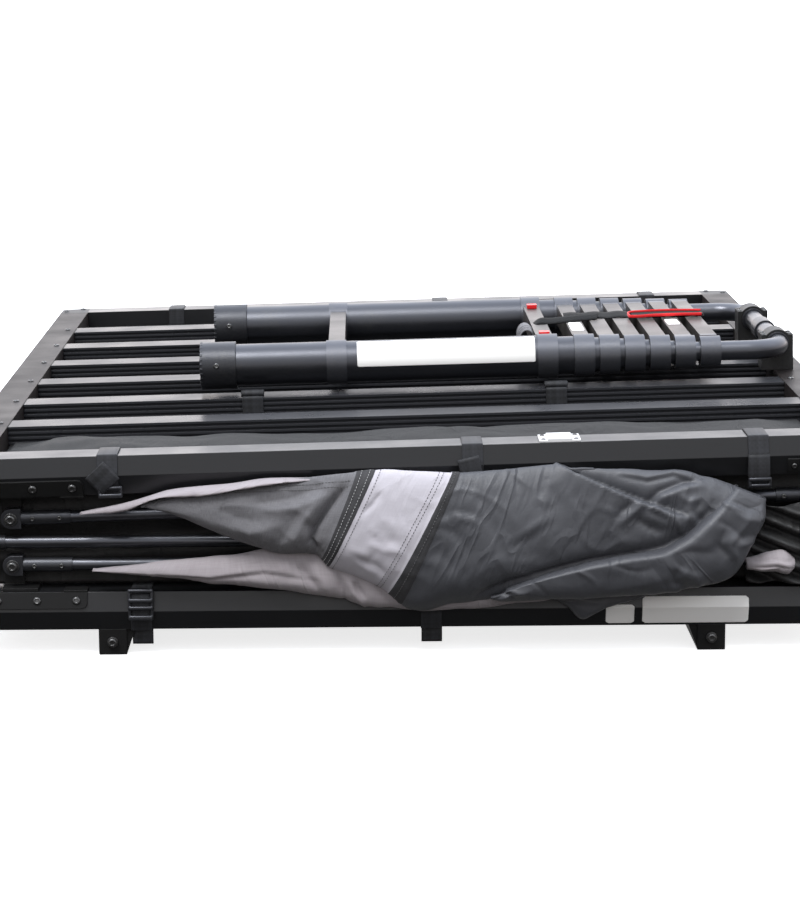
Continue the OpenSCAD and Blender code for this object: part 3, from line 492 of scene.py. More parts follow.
# %% Finishes on the CAD nodes
CAD_FINISHES = {
    "frame_coat": ["base_long_rails", "base_side_rails", "lid_long_rails"],
    "side_coat": ["lid_side_rails"],
    "slat_coat": ["base_slats", "lid_slats", "mounting_tracks"],
    "cast_coat": ["base_corners", "lid_corners", "bearing_blocks"],
    "bracket_coat": ["track_brackets", "base_hinge_plates", "lid_hinge_plates", "base_bow_brackets",
                     "lid_bow_brackets"],
    "tube_coat": ["lower_bow", "middle_bow", "upper_bow", "ladder_bail"],
    "ladder_paint": ["ladder_stiles_%d" % k for k in range(1, 7)],
    "rung_and_collar": ["ladder_step_%d" % k for k in range(1, 8)],
    "moulded_black": ["lower_bow_fittings", "middle_bow_fittings", "upper_bow_fittings", "bearing_bushes",
                      "bail_sleeve"],
    "foot_rubber": ["ladder_feet"],
    "board_coat": ["base_floor", "lid_floor"],
    "dark_steel": ["base_screws", "lid_screws", "track_bolts", "base_pivot_pins", "lid_pivot_pins"],
    "red_moulding": ["release_button_front", "release_button_back"],
    "keeper_white": ["keeper_plate"],
}


def dress_cad():
    for finish, names in CAD_FINISHES.items():
        for name in names:
            mesh = nodes[name].data
            mesh.materials.clear()
            mesh.materials.append(looks[finish])


dress_cad()
left = sorted(set(nodes) - {n for names in CAD_FINISHES.values() for n in names})
print("CAD nodes still to be replaced:", left)

# %% [markdown]
# ## How the pieces are made
#
# Every soft piece is a mesh of its own, built from points in metres, with a UV map in metres so
# that the weave has the same size on every cloth. Cloth is first a grid of points. The grid is
# pushed in and out for folds and ripples, and then gets the thickness of the fabric.

# %% Piece helpers
def make_piece(name, points, faces, finishes, uv=None, slots=None, smooth=True):
    mesh = bpy.data.meshes.new(name)
    mesh.from_pydata(np.asarray(points).tolist(), [], faces)
    for finish in finishes:
        mesh.materials.append(looks[finish])
    if slots is not None:
        mesh.polygons.foreach_set("material_index", np.asarray(slots, np.int32))
    if uv is not None:
        corner = np.empty(len(mesh.loops), np.int32)
        mesh.loops.foreach_get("vertex_index", corner)
        mesh.uv_layers.new(name="UVMap").uv.foreach_set("vector", np.asarray(uv)[corner].ravel())
    mesh.polygons.foreach_set("use_smooth", np.full(len(mesh.polygons), smooth))
    piece = bpy.data.objects.new(name, mesh)
    bpy.context.collection.objects.link(piece)
    return piece


def bake(piece):
    """Swap a piece's mesh for the one its modifiers make."""
    graph = bpy.context.evaluated_depsgraph_get()
    mesh = bpy.data.meshes.new_from_object(piece.evaluated_get(graph))
    piece.modifiers.clear()
    plain, piece.data = piece.data, mesh
    bpy.data.meshes.remove(plain)
    mesh.name = piece.name
    return piece


def thicken(piece, thickness):
    solid = piece.modifiers.new("thickness", "SOLIDIFY")
    solid.thickness = thickness
    solid.offset = -1.0
    return bake(piece)


# %% Grids of cloth
def spline(values, at, counts):
    """Smooth curve through rows of values at given places, with so many steps in each span."""
    values, at = np.asarray(values, float), np.asarray(at, float)
    slope = np.gradient(values, at, axis=0)
    rows = []
    for k, n in enumerate(counts):
        t = np.linspace(0, 1, n, endpoint=False)[:, None]
        h = at[k + 1] - at[k]
        rows.append((2 * t**3 - 3 * t**2 + 1) * values[k] + (t**3 - 2 * t**2 + t) * h * slope[k]
                    + (3 * t**2 - 2 * t**3) * values[k + 1] + (t**3 - t**2) * h * slope[k + 1])
    return np.vstack(rows + [values[-1:]])


def chain(points):
    """Distance along a row of points, from the first one."""
    gaps = np.linalg.norm(np.diff(np.asarray(points, float), axis=0), axis=1)
    return np.concatenate([[0.0], np.cumsum(gaps)])


def unit(directions):
    return directions / np.linalg.norm(directions, axis=-1, keepdims=True)


def grid_normals(grid):
    n = np.cross(np.gradient(grid, axis=0), np.gradient(grid, axis=1))
    return n / (np.linalg.norm(n, axis=-1, keepdims=True) + 1e-12)


def grid_faces(rows, columns, flip=False):
    faces = []
    for i in range(rows - 1):
        for j in range(columns - 1):
            a = i * columns + j
            quad = (a, a + columns, a + columns + 1, a + 1)
            faces.append(quad[::-1] if flip else quad)
    return faces


def grid_size(grid):
    """Mean lengths of a grid of metres along its two directions, and its area."""
    along = np.linalg.norm(np.diff(grid, axis=0), axis=-1).sum(0).mean()
    across = np.linalg.norm(np.diff(grid, axis=1), axis=-1).sum(1).mean()
    d1 = grid[1:, 1:] - grid[:-1, :-1]
    d2 = grid[1:, :-1] - grid[:-1, 1:]
    return along, across, np.linalg.norm(np.cross(d1, d2), axis=-1).sum() / 2


def grid_uv(grid):
    u = np.linalg.norm(np.diff(grid, axis=0), axis=-1).mean(1)
    v = np.linalg.norm(np.diff(grid, axis=1), axis=-1).mean(0)
    u, v = np.concatenate([[0], np.cumsum(u)]), np.concatenate([[0], np.cumsum(v)])
    return np.stack(np.meshgrid(u, v, indexing="ij"), -1).reshape(-1, 2)


# %% Folds and ripples
def ripple(x, z, seed, lengths, angles, height, count=6):
    """Sum of a few bent waves with fixed random directions and lengths."""
    rng = np.random.default_rng(seed)
    total = np.zeros_like(x)
    for _ in range(count):
        angle, length = rng.uniform(*angles), rng.uniform(*lengths)
        phase = rng.uniform(0, 2 * math.pi)
        across = x * math.sin(angle) - z * math.cos(angle)
        bent = 0.3 * length * np.sin(across / length * 2.3 + 2 * phase)
        along = x * math.cos(angle) + z * math.sin(angle) + bent
        total += np.sin(along / length * 2 * math.pi + phase)
    return height * total / math.sqrt(count)


def crease(width, height, *line, lip=False):
    """A drawn crease: how wide and high it is, and the points it runs through."""
    return line, width, height, lip


def stroke(x, z, line, width, height, lip=False):
    """Crease along a line of points; a lip stands up on the line's left and drops off sharply."""
    nearest = np.full(x.shape, 1e9)
    side, place = np.ones(x.shape), np.zeros(x.shape)
    for k, ((x0, z0), (x1, z1)) in enumerate(zip(line[:-1], line[1:])):
        dx, dz = x1 - x0, z1 - z0
        t = np.clip(((x - x0) * dx + (z - z0) * dz) / (dx * dx + dz * dz), 0, 1)
        away = np.hypot(x - x0 - t * dx, z - z0 - t * dz)
        closer = away < nearest
        nearest = np.where(closer, away, nearest)
        side = np.where(closer, np.sign(dx * (z - z0) - dz * (x - x0)), side)
        place = np.where(closer, (k + t) / (len(line) - 1), place)
    fade = np.sqrt(np.clip(np.sin(place * math.pi), 0.0, 1.0))
    if not lip:
        return height * (0.35 + 0.65 * fade) * np.exp(-(nearest / width) ** 1.4)
    share = np.clip(0.5 + side * nearest / 5.0, 0, 1)
    above = np.exp(-nearest / width)
    below = -1.2 * np.exp(-nearest / (0.38 * width))
    return height * fade * (share * above + (1 - share) * below)


# %% [markdown]
# ## The canopy at the front and the back
#
# When the tent is folded, the side of the canopy bulges out between the two frames as a slack
# roll. On the real object it is one sewn wall: a heather end, a dark seam band, a light panel, a
# dark binding and a charcoal panel. It is described here the way one would trace it: a row of
# stations, each with the place of the roll's upper and lower edge and how far it stands out.
# Between the edges the cloth runs round in a C and tucks in behind. Stations lie on the seams,
# so that the colours change exactly there. Drawn creases and gentle ripples come on top.

# %% The rolls' stations
# top x, top z, low x, low z, y of the edges, y of the fullest place, in millimetres
WALL = [
    (-347, 203, -347, 199, -710, -714), (-300, 216, -296, 187, -712, -726),
    (-215, 230, -231, 157, -712, -736), (-140, 237, -172, 139, -712, -738),
    (-71, 243, -117, 131, -712, -741), (-47, 246, -108, 120, -712, -743),
    (2, 244, -68, 104, -712, -744), (51, 242, -32, 85, -712, -745),
    (61, 242, -15, 70, -712, -745), (120, 246, 54, 69, -712, -745),
    (182, 251, 120, 79, -712, -746), (240, 248, 190, 92, -712, -746),
    (300, 243, 260, 100, -712, -745), (350, 241, 325, 108, -712, -744),
    (398, 228, 388, 128, -710, -740), (448, 208, 448, 172, -706, -730),
]
WALL_STEPS = [14, 26, 26, 24, 8, 24, 24, 6, 26, 26, 26, 26, 22, 20, 18]
TAIL = [
    (-426, 190, -426, 188, -702, -704), (-364, 205, -363, 195, -706, -714),
    (-319, 219, -332, 210, -712, -724), (-231, 230, -274, 215, -714, -732),
    (-180, 236, -184, 230, -714, -731), (-128, 236, -130, 233, -713, -717),
]
TAIL_STEPS = [22, 18, 30, 14, 16]
LOWER = [
    (-412, 115, -412, 114, -703, -705), (-360, 122, -370, 111, -705, -712),
    (-300, 129, -312, 105, -706, -720), (-245, 134, -245, 97, -707, -724),
    (-187, 142, -165, 88, -707, -724), (-115, 142, -106, 79, -707, -722),
    (-50, 130, -56, 67, -707, -720), (10, 115, 10, 60, -707, -719),
    (76, 110, 76, 62, -707, -718), (150, 108, 165, 71, -707, -717),
    (215, 104, 232, 80, -707, -716),
]
LOWER_STEPS = [16, 18, 18, 18, 22, 20, 20, 20, 20, 16]
FOLD = [
    (98, 84, 104, 77, -720, -738), (116, 94, 122, 75, -720, -746), (138, 104, 142, 76, -721, -749),
    (162, 112, 164, 78, -722, -751), (225, 130, 228, 80, -724, -755),
    (280, 141, 284, 84, -724, -757), (318, 148, 350, 90, -724, -757),
    (352, 166, 408, 106, -722, -754), (383, 194, 436, 148, -718, -748),
    (400, 210, 450, 178, -712, -736), (414, 222, 454, 204, -706, -722),
]
FOLD_STEPS = [8, 10, 10, 20, 20, 16, 20, 18, 14, 12]
CREASES = [
    crease(26, 12.0, (352, 187), (296, 206), (238, 230), (182, 254), lip=True),
    crease(5, -6.0, (299, 207), (314, 220), (341, 230), (372, 235)),
    crease(6, 4.0, (306, 200), (318, 212), (344, 221), (370, 226)),
    crease(6, 4.0, (262, 240), (300, 233), (334, 239), (372, 227), lip=True),
    crease(7, -10.0, (84, 84), (110, 94), (138, 105), (164, 113), (226, 131), (282, 142),
           (318, 150), (352, 168), (380, 196)),
    crease(5, 4.5, (262, 180), (281, 194), (294, 206)),
    crease(4, -3.0, (256, 188), (272, 200), (284, 212)),
    crease(4, -4.5, (284, 186), (299, 176), (316, 169)),
    crease(4, 3.5, (296, 190), (312, 182), (330, 178)),
    crease(5, 4.0, (300, 203), (330, 186), (345, 170)),
    crease(4, 4.0, (357, 210), (350, 194), (362, 176)),
    crease(4, -3.5, (366, 206), (360, 192), (370, 180)),
    crease(4, 3.0, (340, 214), (352, 206), (366, 210)),
    crease(5, 2.0, (26, 180), (52, 187), (80, 184)),
    crease(5, -1.5, (30, 190), (54, 197), (78, 192)),
    crease(5, -2.0, (44, 172), (64, 160), (72, 140)),
    crease(5, 1.6, (34, 166), (52, 156), (60, 138)),
    crease(6, 1.4, (62, 176), (84, 168), (96, 150)),
    crease(6, -1.6, (20, 150), (40, 140), (50, 122)),
    crease(5, 1.8, (126, 160), (146, 172), (168, 188)),
    crease(5, -1.5, (134, 154), (156, 166), (178, 180)),
    crease(7, 1.2, (96, 128), (120, 134), (146, 132)),
    crease(8, -1.8, (174, 228), (182, 206), (170, 190)),
    crease(4, -3.5, (-62, 196), (-52, 206), (-42, 219)),
    crease(5, 3.0, (-56, 156), (-36, 148), (-16, 146)),
    crease(5, -2.0, (-50, 166), (-34, 160), (-20, 158)),
    crease(6, -3.0, (-70, 136), (-50, 128), (-36, 116)),
    crease(7, 2.0, (-40, 188), (-26, 180), (-14, 164)),
    crease(6, 2.0, (-80, 150), (-64, 142), (-52, 128)),
    crease(12, -4.5, (-250, 202), (-222, 190), (-190, 184)),
    crease(11, 4.5, (-232, 176), (-205, 170), (-176, 178)),
    crease(9, -6.0, (-200, 208), (-160, 213), (-118, 228)),
    crease(8, 5.0, (-190, 199), (-150, 201), (-108, 217)),
    crease(4.5, -15.0, (-122, 143), (-129, 157), (-125, 176), (-105, 206), (-88, 227)),
    crease(8, 5.5, (-152, 160), (-140, 184), (-120, 208)),
    crease(9, -3.0, (-172, 158), (-158, 174), (-146, 194)),
]
LOWER_CREASES = [
    crease(9, 3.0, (-330, 112), (-260, 108), (-190, 116), (-120, 104), lip=True),
    crease(5, -5.0, (-146, 122), (-136, 112), (-123, 93)),
    crease(6, 3.0, (-128, 120), (-116, 104), (-106, 84)),
    crease(4, -5.0, (-96, 112), (-92, 98), (-87, 74)),
    crease(4, 4.5, (-84, 104), (-76, 88), (-60, 66)),
    crease(3.5, -6.0, (-74, 100), (-70, 92), (-63, 80)),
    crease(5, -3.0, (-46, 96), (-40, 84), (-30, 70)),
]
FOLD_CREASES = [
    crease(5, -5.0, (96, 88), (116, 92), (128, 84)),
    crease(5, 3.5, (108, 80), (126, 88), (146, 92)),
    crease(7, -4.5, (350, 94), (330, 106), (338, 124)),
    crease(6, 3.0, (362, 104), (346, 114), (352, 130)),
    crease(7, -4.5, (402, 136), (390, 152), (398, 172)),
    crease(6, 3.5, (414, 132), (404, 148), (410, 164)),
    crease(5, -3.0, (412, 204), (428, 196), (448, 196)),
    crease(6, 3.0, (404, 196), (422, 184), (446, 178)),
    crease(6, -3.0, (388, 184), (404, 176), (424, 156)),
    crease(12, 2.0, (250, 96), (300, 104), (340, 112)),
]
print("stations of the rolls:", [len(rows) for rows in (WALL, TAIL, LOWER, FOLD)])

# %% Build the rolls
# Degrees that a roll turns to each side before it ends, how deep it tucks in, and the cloth's thickness
TUCK, TUCK_DEPTH = 132.0, 14.0
CLOTH = 1.4 * MM


def roll_grid(stations, steps, rows, full=0.6, sag=-0.4):
    """C-shaped roll through its stations; a low value of full makes it flat with sharp edges.

    sag is how far the fullest place lies from the middle, from -1 at the low to 1 at the top edge.
    """
    s = np.asarray(stations, float)
    c = spline(s, chain((s[:, 0:2] + s[:, 2:4]) / 2), steps)
    turn = np.radians(np.linspace(-TUCK, TUCK, rows))
    rise = np.sign(np.sin(turn)) * np.abs(np.sin(turn)) ** 0.9
    lean = np.cos(turn)
    top, low = c[:, None, 0:2], c[:, None, 2:4]
    xz = (top + low) / 2 + (top - low) / 2 * rise[None, :, None]
    edge, out = c[:, None, 4], c[:, None, 5]
    off = np.where(rise > sag, (rise - sag) / (1 - sag), (sag - rise) / (1 + sag))
    bulge = np.where(lean > 0, np.clip(1 - off**2, 0, 1) ** full, 0)
    y = edge + (out - edge) * bulge - TUCK_DEPTH * np.clip(lean, -1, 0)
    return np.stack([xz[..., 0], y, xz[..., 1]], -1)


def crumple(x, z, seed, height):
    """Sharp little ridges along the lines where a few bent waves cancel out, in some places only."""
    wave = ripple(x, z, seed, (70, 150), (0.4, 1.5), 1.0, 4)
    place = ripple(x, z, seed + 1, (90, 200), (0.0, 3.1), 1.0, 4)
    crest = np.clip(1 - np.abs(wave) / 0.4, 0, 1)
    return height * crest**1.3 * np.clip(place + 0.6, 0, 1)


def press(grid, creases, seed, height, sharp):
    """Push a grid in and out along its normals; sharp is how high its small ridges are."""
    x, z = grid[..., 0], grid[..., 2]
    push = ripple(x, z, seed, (60, 130), (0.3, 2.4), height)
    push += ripple(x, z, seed + 1, (18, 40), (0.2, 2.8), 0.25 * height)
    inner = np.clip(2.0 - np.abs(np.linspace(-2.5, 2.5, x.shape[1])), 0, 1)
    push += inner * crumple(x, z, seed + 2, sharp * height)
    push -= inner * crumple(x, z, seed + 4, 0.75 * sharp * height)
    for drawn in creases:
        push += stroke(x, z, *drawn)
    return grid + grid_normals(grid) * push[..., None]


# Finishes of the wall's panels, and the finish of each row of its faces as a place in that list
WALL_FINISHES = ["canopy_charcoal", "canopy_heather", "canopy_binding", "canopy_light", "canopy_binding"]
WALL_PANELS = np.repeat([1] * 4 + [2] + [3] * 2 + [4] + [0] * 7, WALL_STEPS)
WALL_ROWS, BAND_HEIGHT = 96, 1.2

wall = press(roll_grid(WALL, WALL_STEPS, WALL_ROWS), CREASES, seed=11, height=0.7, sharp=2.1)
band = BAND_HEIGHT * np.isin(WALL_PANELS, (2, 4))
wall[:-1] += grid_normals(wall)[:-1] * band[:, None, None]
tail = press(roll_grid(TAIL, TAIL_STEPS, 28), [], seed=21, height=0.4, sharp=3.2)
lower = press(roll_grid(LOWER, LOWER_STEPS, 56), LOWER_CREASES, seed=31, height=1.0, sharp=0.9)
fold = press(roll_grid(FOLD, FOLD_STEPS, 72, full=0.3, sag=0.7), FOLD_CREASES, seed=41, height=1.0,
             sharp=2.2)
print("roll grids:", [grid.shape[:2] for grid in (wall, tail, lower, fold)])

# %% From a grid to a cloth between the two halves
def cloth_from_grid(name, grid, finishes, slots=None, back=False, place=on_base):
    """A sheet from a grid of millimetres, and its sizes; the back one is the front one's mirror image."""
    metres = place(grid)
    if back:
        metres = metres * np.array([1.0, -1.0, 1.0])
    rows, columns = metres.shape[:2]
    piece = make_piece(name, metres.reshape(-1, 3), grid_faces(rows, columns, back), finishes,
                       grid_uv(metres), slots)
    thicken(piece, CLOTH)
    return piece, grid_size(metres)


def open_with_lid(piece):
    """Bake the piece's place into its mesh."""
    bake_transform(piece)


def canopy_cloth(name, grid, finishes, node, slots=None, back=False):
    """Folded cloth between the two halves, which stands for a CAD node and hides it."""
    piece, (along, across, area) = cloth_from_grid(name, grid, finishes, slots, back)
    open_with_lid(piece)
    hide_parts(node)
    return piece


# %% [markdown]
# ### Stitches
#
# The seams are sewn with light thread on the dark band and with dark thread elsewhere. A stitch is
# a small bead, and Geometry Nodes sets them in a row: the seam's line becomes a curve, the curve
# is cut into equal steps, and each step gets a bead turned along the line. The group's inputs
# are the step, the bead's length and thickness and the thread, so one group sews every seam.

# %% Geometry node helpers
def run_group(name, points, edges, group, values, attributes=None):
    """Run a geometry group on points and edges, and keep what it makes as a plain mesh."""
    mesh = bpy.data.meshes.new(name)
    mesh.from_pydata(np.asarray(points, float).tolist(), edges, [])
    for label, (kind, field, data) in (attributes or {}).items():
        layer = mesh.attributes.new(label, kind, "POINT")
        layer.data.foreach_set(field, np.asarray(data, float).ravel())
    piece = bpy.data.objects.new(name, mesh)
    bpy.context.collection.objects.link(piece)
    modifier = piece.modifiers.new("made", "NODES")
    modifier.node_group = group
    for item in group.interface.items_tree:
        if item.in_out == "INPUT" and item.name in values:
            modifier[item.identifier] = values[item.name]
    return bake(piece)


def new_placer(name, inputs):
    """Geometry group that a modifier can run on points or edges."""
    inputs = {"Geometry": "Geometry", **inputs, "Material": "Material"}
    group, into, out = new_group(name, "Geometry", inputs, {"Geometry": "Geometry"})
    group.is_modifier = True
    return group, into, out


def place_forms(g, points, form, way, size, material):
    """A form on every point, turned along a direction and sized, as one real mesh with a finish."""
    turn = add(g, "FunctionNodeAlignRotationToVector", {"Vector": way}, axis="Z")
    row = add(g, "InstanceOnPoints", {"Points": points, "Instance": form, "Rotation": turn.outputs[0],
                                      "Scale": size})
    real = add(g, "RealizeInstances", {0: row.outputs[0]})
    return add(g, "SetMaterial", {"Geometry": real.outputs[0], "Material": material}).outputs[0]


def build_stitches():
    g, into, out = new_placer("stitches", dict.fromkeys(["Step", "Length", "Thickness"], "Float"))
    line = add(g, "MeshToCurve", {"Mesh": into["Geometry"]})
    cut = add(g, "ResampleCurve", {"Curve": line.outputs[0], "Length": into["Step"]}, mode="LENGTH")
    bead = add(g, "MeshUVSphere", {"Segments": 6, "Rings": 4, "Radius": 0.5})
    size = add(g, "ShaderNodeCombineXYZ", {"X": into["Thickness"], "Y": into["Thickness"],
                                           "Z": into["Length"]})
    tangent = add(g, "InputTangent").outputs[0]
    feed(g, out[0], place_forms(g, cut.outputs[0], bead.outputs[0], tangent, size.outputs[0],
                                into["Material"]))
    return g


stitch_group = build_stitches()
print("geometry group:", stitch_group.name)

# %% Seam lines on the wall
# Stations of the seams across the wall, and degrees round the roll of those along its heather end
LIGHT_SEAMS, DARK_SEAMS, LONG_SEAMS = (4.3, 4.72), (5.12, 6.62, 6.74, 7.45), (47, 58)
LONG_FROM, LONG_TO, SEAM_TURN, SEAM_LIFT = 0.4, 3.96, 84, 0.5
STITCH = {"Step": 0.0042, "Length": 0.0031, "Thickness": 0.0009}


def wall_row(station):
    """Row of the wall's grid at a station, which may lie between two."""
    starts = np.concatenate([[0], np.cumsum(WALL_STEPS)])
    return float(np.interp(station, range(len(starts)), starts))


def row_at(grid, place):
    low = min(int(place), len(grid) - 2)
    return grid[low] * (1 - place + low) + grid[low + 1] * (place - low)


def wall_seams():
    """Lines of points a little above the cloth: those with light and those with dark thread."""
    raised = wall + grid_normals(wall) * SEAM_LIFT
    turn = np.linspace(-TUCK, TUCK, WALL_ROWS)
    shown = np.abs(turn) < SEAM_TURN
    light = [row_at(raised, wall_row(station))[shown] for station in LIGHT_SEAMS]
    dark = [row_at(raised, wall_row(station))[shown] for station in DARK_SEAMS]
    first, last = int(wall_row(LONG_FROM)), int(wall_row(LONG_TO))
    for angle in LONG_SEAMS:
        dark.append(raised[first:last, int(np.argmin(np.abs(turn - angle)))])
    return light, dark


def sew(name, lines, thread, back):
    points, edges, count = [], [], 0
    for line in lines:
        points.append(on_base(line) * np.array([1.0, -1.0 if back else 1.0, 1.0]))
        edges += [(count + i, count + i + 1) for i in range(len(line) - 1)]
        count += len(line)
    piece = run_group(name, np.vstack(points), edges, stitch_group, {**STITCH, "Material": looks[thread]})
    open_with_lid(piece)
    return piece


# %% Both sides of the canopy
CANOPY_SIDES = (("front", False), ("back", True))
WALL_SLOTS = np.repeat(WALL_PANELS, WALL_ROWS - 1)


def make_side(where, back):
    light, dark = wall_seams()
    seams = [sew("canopy_%s_light_stitches" % where, light, "thread_light", back),
             sew("canopy_%s_dark_stitches" % where, dark, "thread_dark", back)]
    made = list(seams)
    for label, grid, finishes, slots, sewn_on in (
            ("wall", wall, WALL_FINISHES, WALL_SLOTS, seams), ("tail", tail, ["canopy_inner"], None, []),
            ("lower", lower, ["canopy_inner"], None, []), ("fold", fold, ["canopy_charcoal"], None, [])):
        made.append(canopy_cloth("canopy_%s_%s" % (where, label), grid, finishes, "canopy_" + where,
                                 slots, back))
    return made


side_cloth = [piece for where, back in CANOPY_SIDES for piece in make_side(where, back)]
print("canopy rolls:", [(piece.name, len(piece.data.polygons)) for piece in side_cloth])

# %% [markdown]
# ## Cloth at the entry end
#
# Past the wall panels the canopy goes on round the corner: lining and roof, pressed into level
# pleats behind the entry rail. Their near-black colour is partly the cloth's own and partly painted
# shade for the deep gap between the frames. It is one long sheet that starts on the front, turns
# the corner outside the bows and comes back on the other side. Its height is set by the gap
# between the frames. A pale roll of mesh and a dark flap hang out below the wall.

# %% Entry curtain
CURTAIN_PATH = [
    (432, -694), (500, -706), (548, -700), (580, -668), (592, -610), (590, -300), (592, 0),
    (590, 300), (592, 610), (580, 668), (548, 700), (500, 706), (432, 694),
]
CURTAIN_STEPS = [16, 16, 14, 16, 40, 40, 40, 40, 16, 14, 16, 16]
CURTAIN_LOW, CURTAIN_HIGH, CURTAIN_FRONT = 90.0, 226.0, 190.0
CURTAIN_ROWS, PLEATS, PLEAT_DEPTH, PLEAT_INSET = 60, 4.5, 7.0, 8.0
# Where the turn round the corner starts, and how long it is
CORNER_X, CORNER_RUN = 430.0, 140.0


def curtain_grid():
    path = spline(CURTAIN_PATH, chain(CURTAIN_PATH), CURTAIN_STEPS)
    along = chain(path)[:, None]
    rise = np.linspace(0, 1, CURTAIN_ROWS)[None, :]
    way = np.gradient(path, axis=0)
    out = unit(np.stack([way[:, 1], -way[:, 0]], -1))
    round_corner = np.clip((path[:, 0:1] - CORNER_X) / CORNER_RUN, 0, 1)
    lift = 0.06 * np.sin(along / 170.0 + 1.0) + 0.04 * np.sin(along / 61.0)
    lift = lift - 0.5 * (1 - round_corner)
    fold_at = np.sin((rise + lift) * PLEATS * 2 * math.pi)
    push = PLEAT_DEPTH * np.sign(fold_at) * np.abs(fold_at) ** 0.7 - PLEAT_INSET
    push = push + ripple(along + 0 * rise, rise * 140 + 0 * along, 5, (40, 110), (0.0, 3.1), 2.0)
    high = CURTAIN_FRONT + (CURTAIN_HIGH - CURTAIN_FRONT) * round_corner**3
    z = CURTAIN_LOW + (high - CURTAIN_LOW) * rise
    xy = path[:, None, :] + out[:, None, :] * push[..., None]
    return np.concatenate([xy, z[..., None]], -1)


curtain = canopy_cloth("canopy_entry_curtain", curtain_grid(), ["dark_lining"], "canopy_layers")
print("entry curtain:", len(curtain.data.polygons), "faces")

# %% Inner walls behind the bows
# Dark sheets close the view behind the bows; their near-black tone is partly the lining's own colour and
# partly painted shade
LINING_X0, LINING_X1, LINING_Y = -596.0, 536.0, 654.0
# The upper edge rises along the tent as the tilted upper half does
LINING_LOW, LINING_HIGH, LINING_RISE = 86.0, 207.0, 0.0232


def lining_grid():
    x = np.linspace(LINING_X0, LINING_X1, 150)
    rise = np.linspace(0, 1, 40)
    gx, gr = np.meshgrid(x, rise, indexing="ij")
    slack = 5.0 * np.sin(gr * 5 * math.pi + 0.6 * np.sin(gx / 120.0)) * np.sin(gr * math.pi)
    slack += ripple(gx, gr * 120, 81, (50, 140), (0.2, 2.9), 1.0)
    high = LINING_HIGH + LINING_RISE * (gx - LINING_X0)
    return np.stack([gx, -LINING_Y + 4.0 + slack, LINING_LOW + (high - LINING_LOW) * gr], -1)


linings = [canopy_cloth("canopy_%s_lining" % where, lining_grid(), ["dark_lining"], "canopy_layers",
                        back=back) for where, back in CANOPY_SIDES]
print("linings:", [piece.name for piece in linings])

# %% Mesh roll and flap
MESH_ROLL = [
    (430, 122, 432, 110, -700, -708), (446, 128, 446, 107, -700, -716),
    (466, 134, 468, 105, -700, -721), (484, 133, 487, 104, -698, -718), (495, 123, 495, 110, -696, -706),
]
FLAP = [
    (178, 80, 186, 74, -706, -709), (206, 85, 200, 62, -706, -714), (236, 86, 219, 46, -706, -716),
    (270, 86, 252, 60, -706, -714), (304, 84, 300, 77, -706, -708),
]
MESH_CREASES = [
    crease(3, -3.5, (438, 122), (462, 127), (490, 122)),
    crease(3, -4.0, (440, 114), (466, 117), (492, 111)),
    crease(4, 2.5, (448, 118), (472, 122), (490, 116)),
    crease(3, -3.0, (456, 109), (474, 111), (490, 107)),
]
small_cloth = []
for where, back in CANOPY_SIDES:
    for label, stations, steps, finish in (("mesh_roll", MESH_ROLL, [8, 12, 12, 8], "canopy_inner"),
                                           ("flap", FLAP, [12, 12, 12, 12], "canopy_charcoal")):
        grid = press(roll_grid(stations, steps, 36), MESH_CREASES, seed=51, height=0.9, sharp=1.8)
        small_cloth.append(canopy_cloth("canopy_%s_%s" % (where, label), grid, [finish], "canopy_" + where,
                                        back=back))
print("small cloths:", [piece.name for piece in small_cloth])

# %% [markdown]
# ## Folded roof layers and mattresses
#
# Between the bows lie flat packs of folded roof cloth. They cannot follow the bows when the tent
# opens: the real cloth is pulled out of the pack, so a pack rides on the middle bow. The two
# mattresses are foam in a quilted cover, one on each floor. Each has a crowned face, sewn
# channels across it, and sides that pull in between the corners.

# %% Roof packs
PACK_X0, PACK_X1, PACK_Y = -436.0, 498.0, 646.0
PACK_LEVELS, PACK_EDGE = [(126.5, 135.5), (156.5, 165.5)], 18.0


def two_sided(top, low):
    """Points and faces of a closed pad between two grids of the same size."""
    index = np.arange(top.shape[0] * top.shape[1]).reshape(top.shape[:2])
    count = index.size
    faces = grid_faces(*index.shape)
    faces += [tuple(count + i for i in face[::-1]) for face in faces]
    ring = np.concatenate([index[:, 0], index[-1, 1:], index[-2::-1, -1], index[0, -2:0:-1]]).tolist()
    faces += [(b, a, a + count, b + count) for a, b in zip(ring, ring[1:] + ring[:1])]
    return np.concatenate([top.reshape(-1, 3), low.reshape(-1, 3)]), faces


def pad_between(name, x, y, middle, half, place, finish):
    """Closed pad that reaches so far above and below a middle height, in millimetres."""
    points, faces = two_sided(np.stack([x, y, middle + half], -1), np.stack([x, y, middle - half], -1))
    flat = np.stack([x, y], -1).reshape(-1, 2) * MM
    return make_piece(name, place(points), faces, [finish], np.concatenate([flat, flat]))


def pack_sheet(name, low, high, seed):
    x = np.linspace(PACK_X0, PACK_X1, 96)
    y = np.linspace(-PACK_Y, PACK_Y, 120)
    gx, gy = np.meshgrid(x, y, indexing="ij")
    inset = np.minimum(np.minimum(gx - PACK_X0, PACK_X1 - gx), PACK_Y - np.abs(gy))
    crown = np.clip(inset / PACK_EDGE, 0, 1) ** 0.5
    wave = ripple(gx, gy, seed, (60, 160), (1.0, 2.1), 0.35)
    half = (high - low) / 2 * (0.25 + 0.6 * crown)
    # The packs take the lining's finish: dark partly as painted shade between the bows
    piece = pad_between(name, gx, gy, (low + high) / 2 + wave, half, on_base, "dark_lining")
    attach(piece, "middle_hoop")
    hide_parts("canopy_layers")
    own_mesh(piece)
    return piece


packs = [pack_sheet("roof_pack_%d" % (k + 1), low, high, 61 + k)
         for k, (low, high) in enumerate(PACK_LEVELS)]
print("roof packs:", [piece.name for piece in packs])

# %% Mattresses
MATTRESS_X, MATTRESS_Y, MATTRESS_THICK = 536.0, 636.0, 39.0
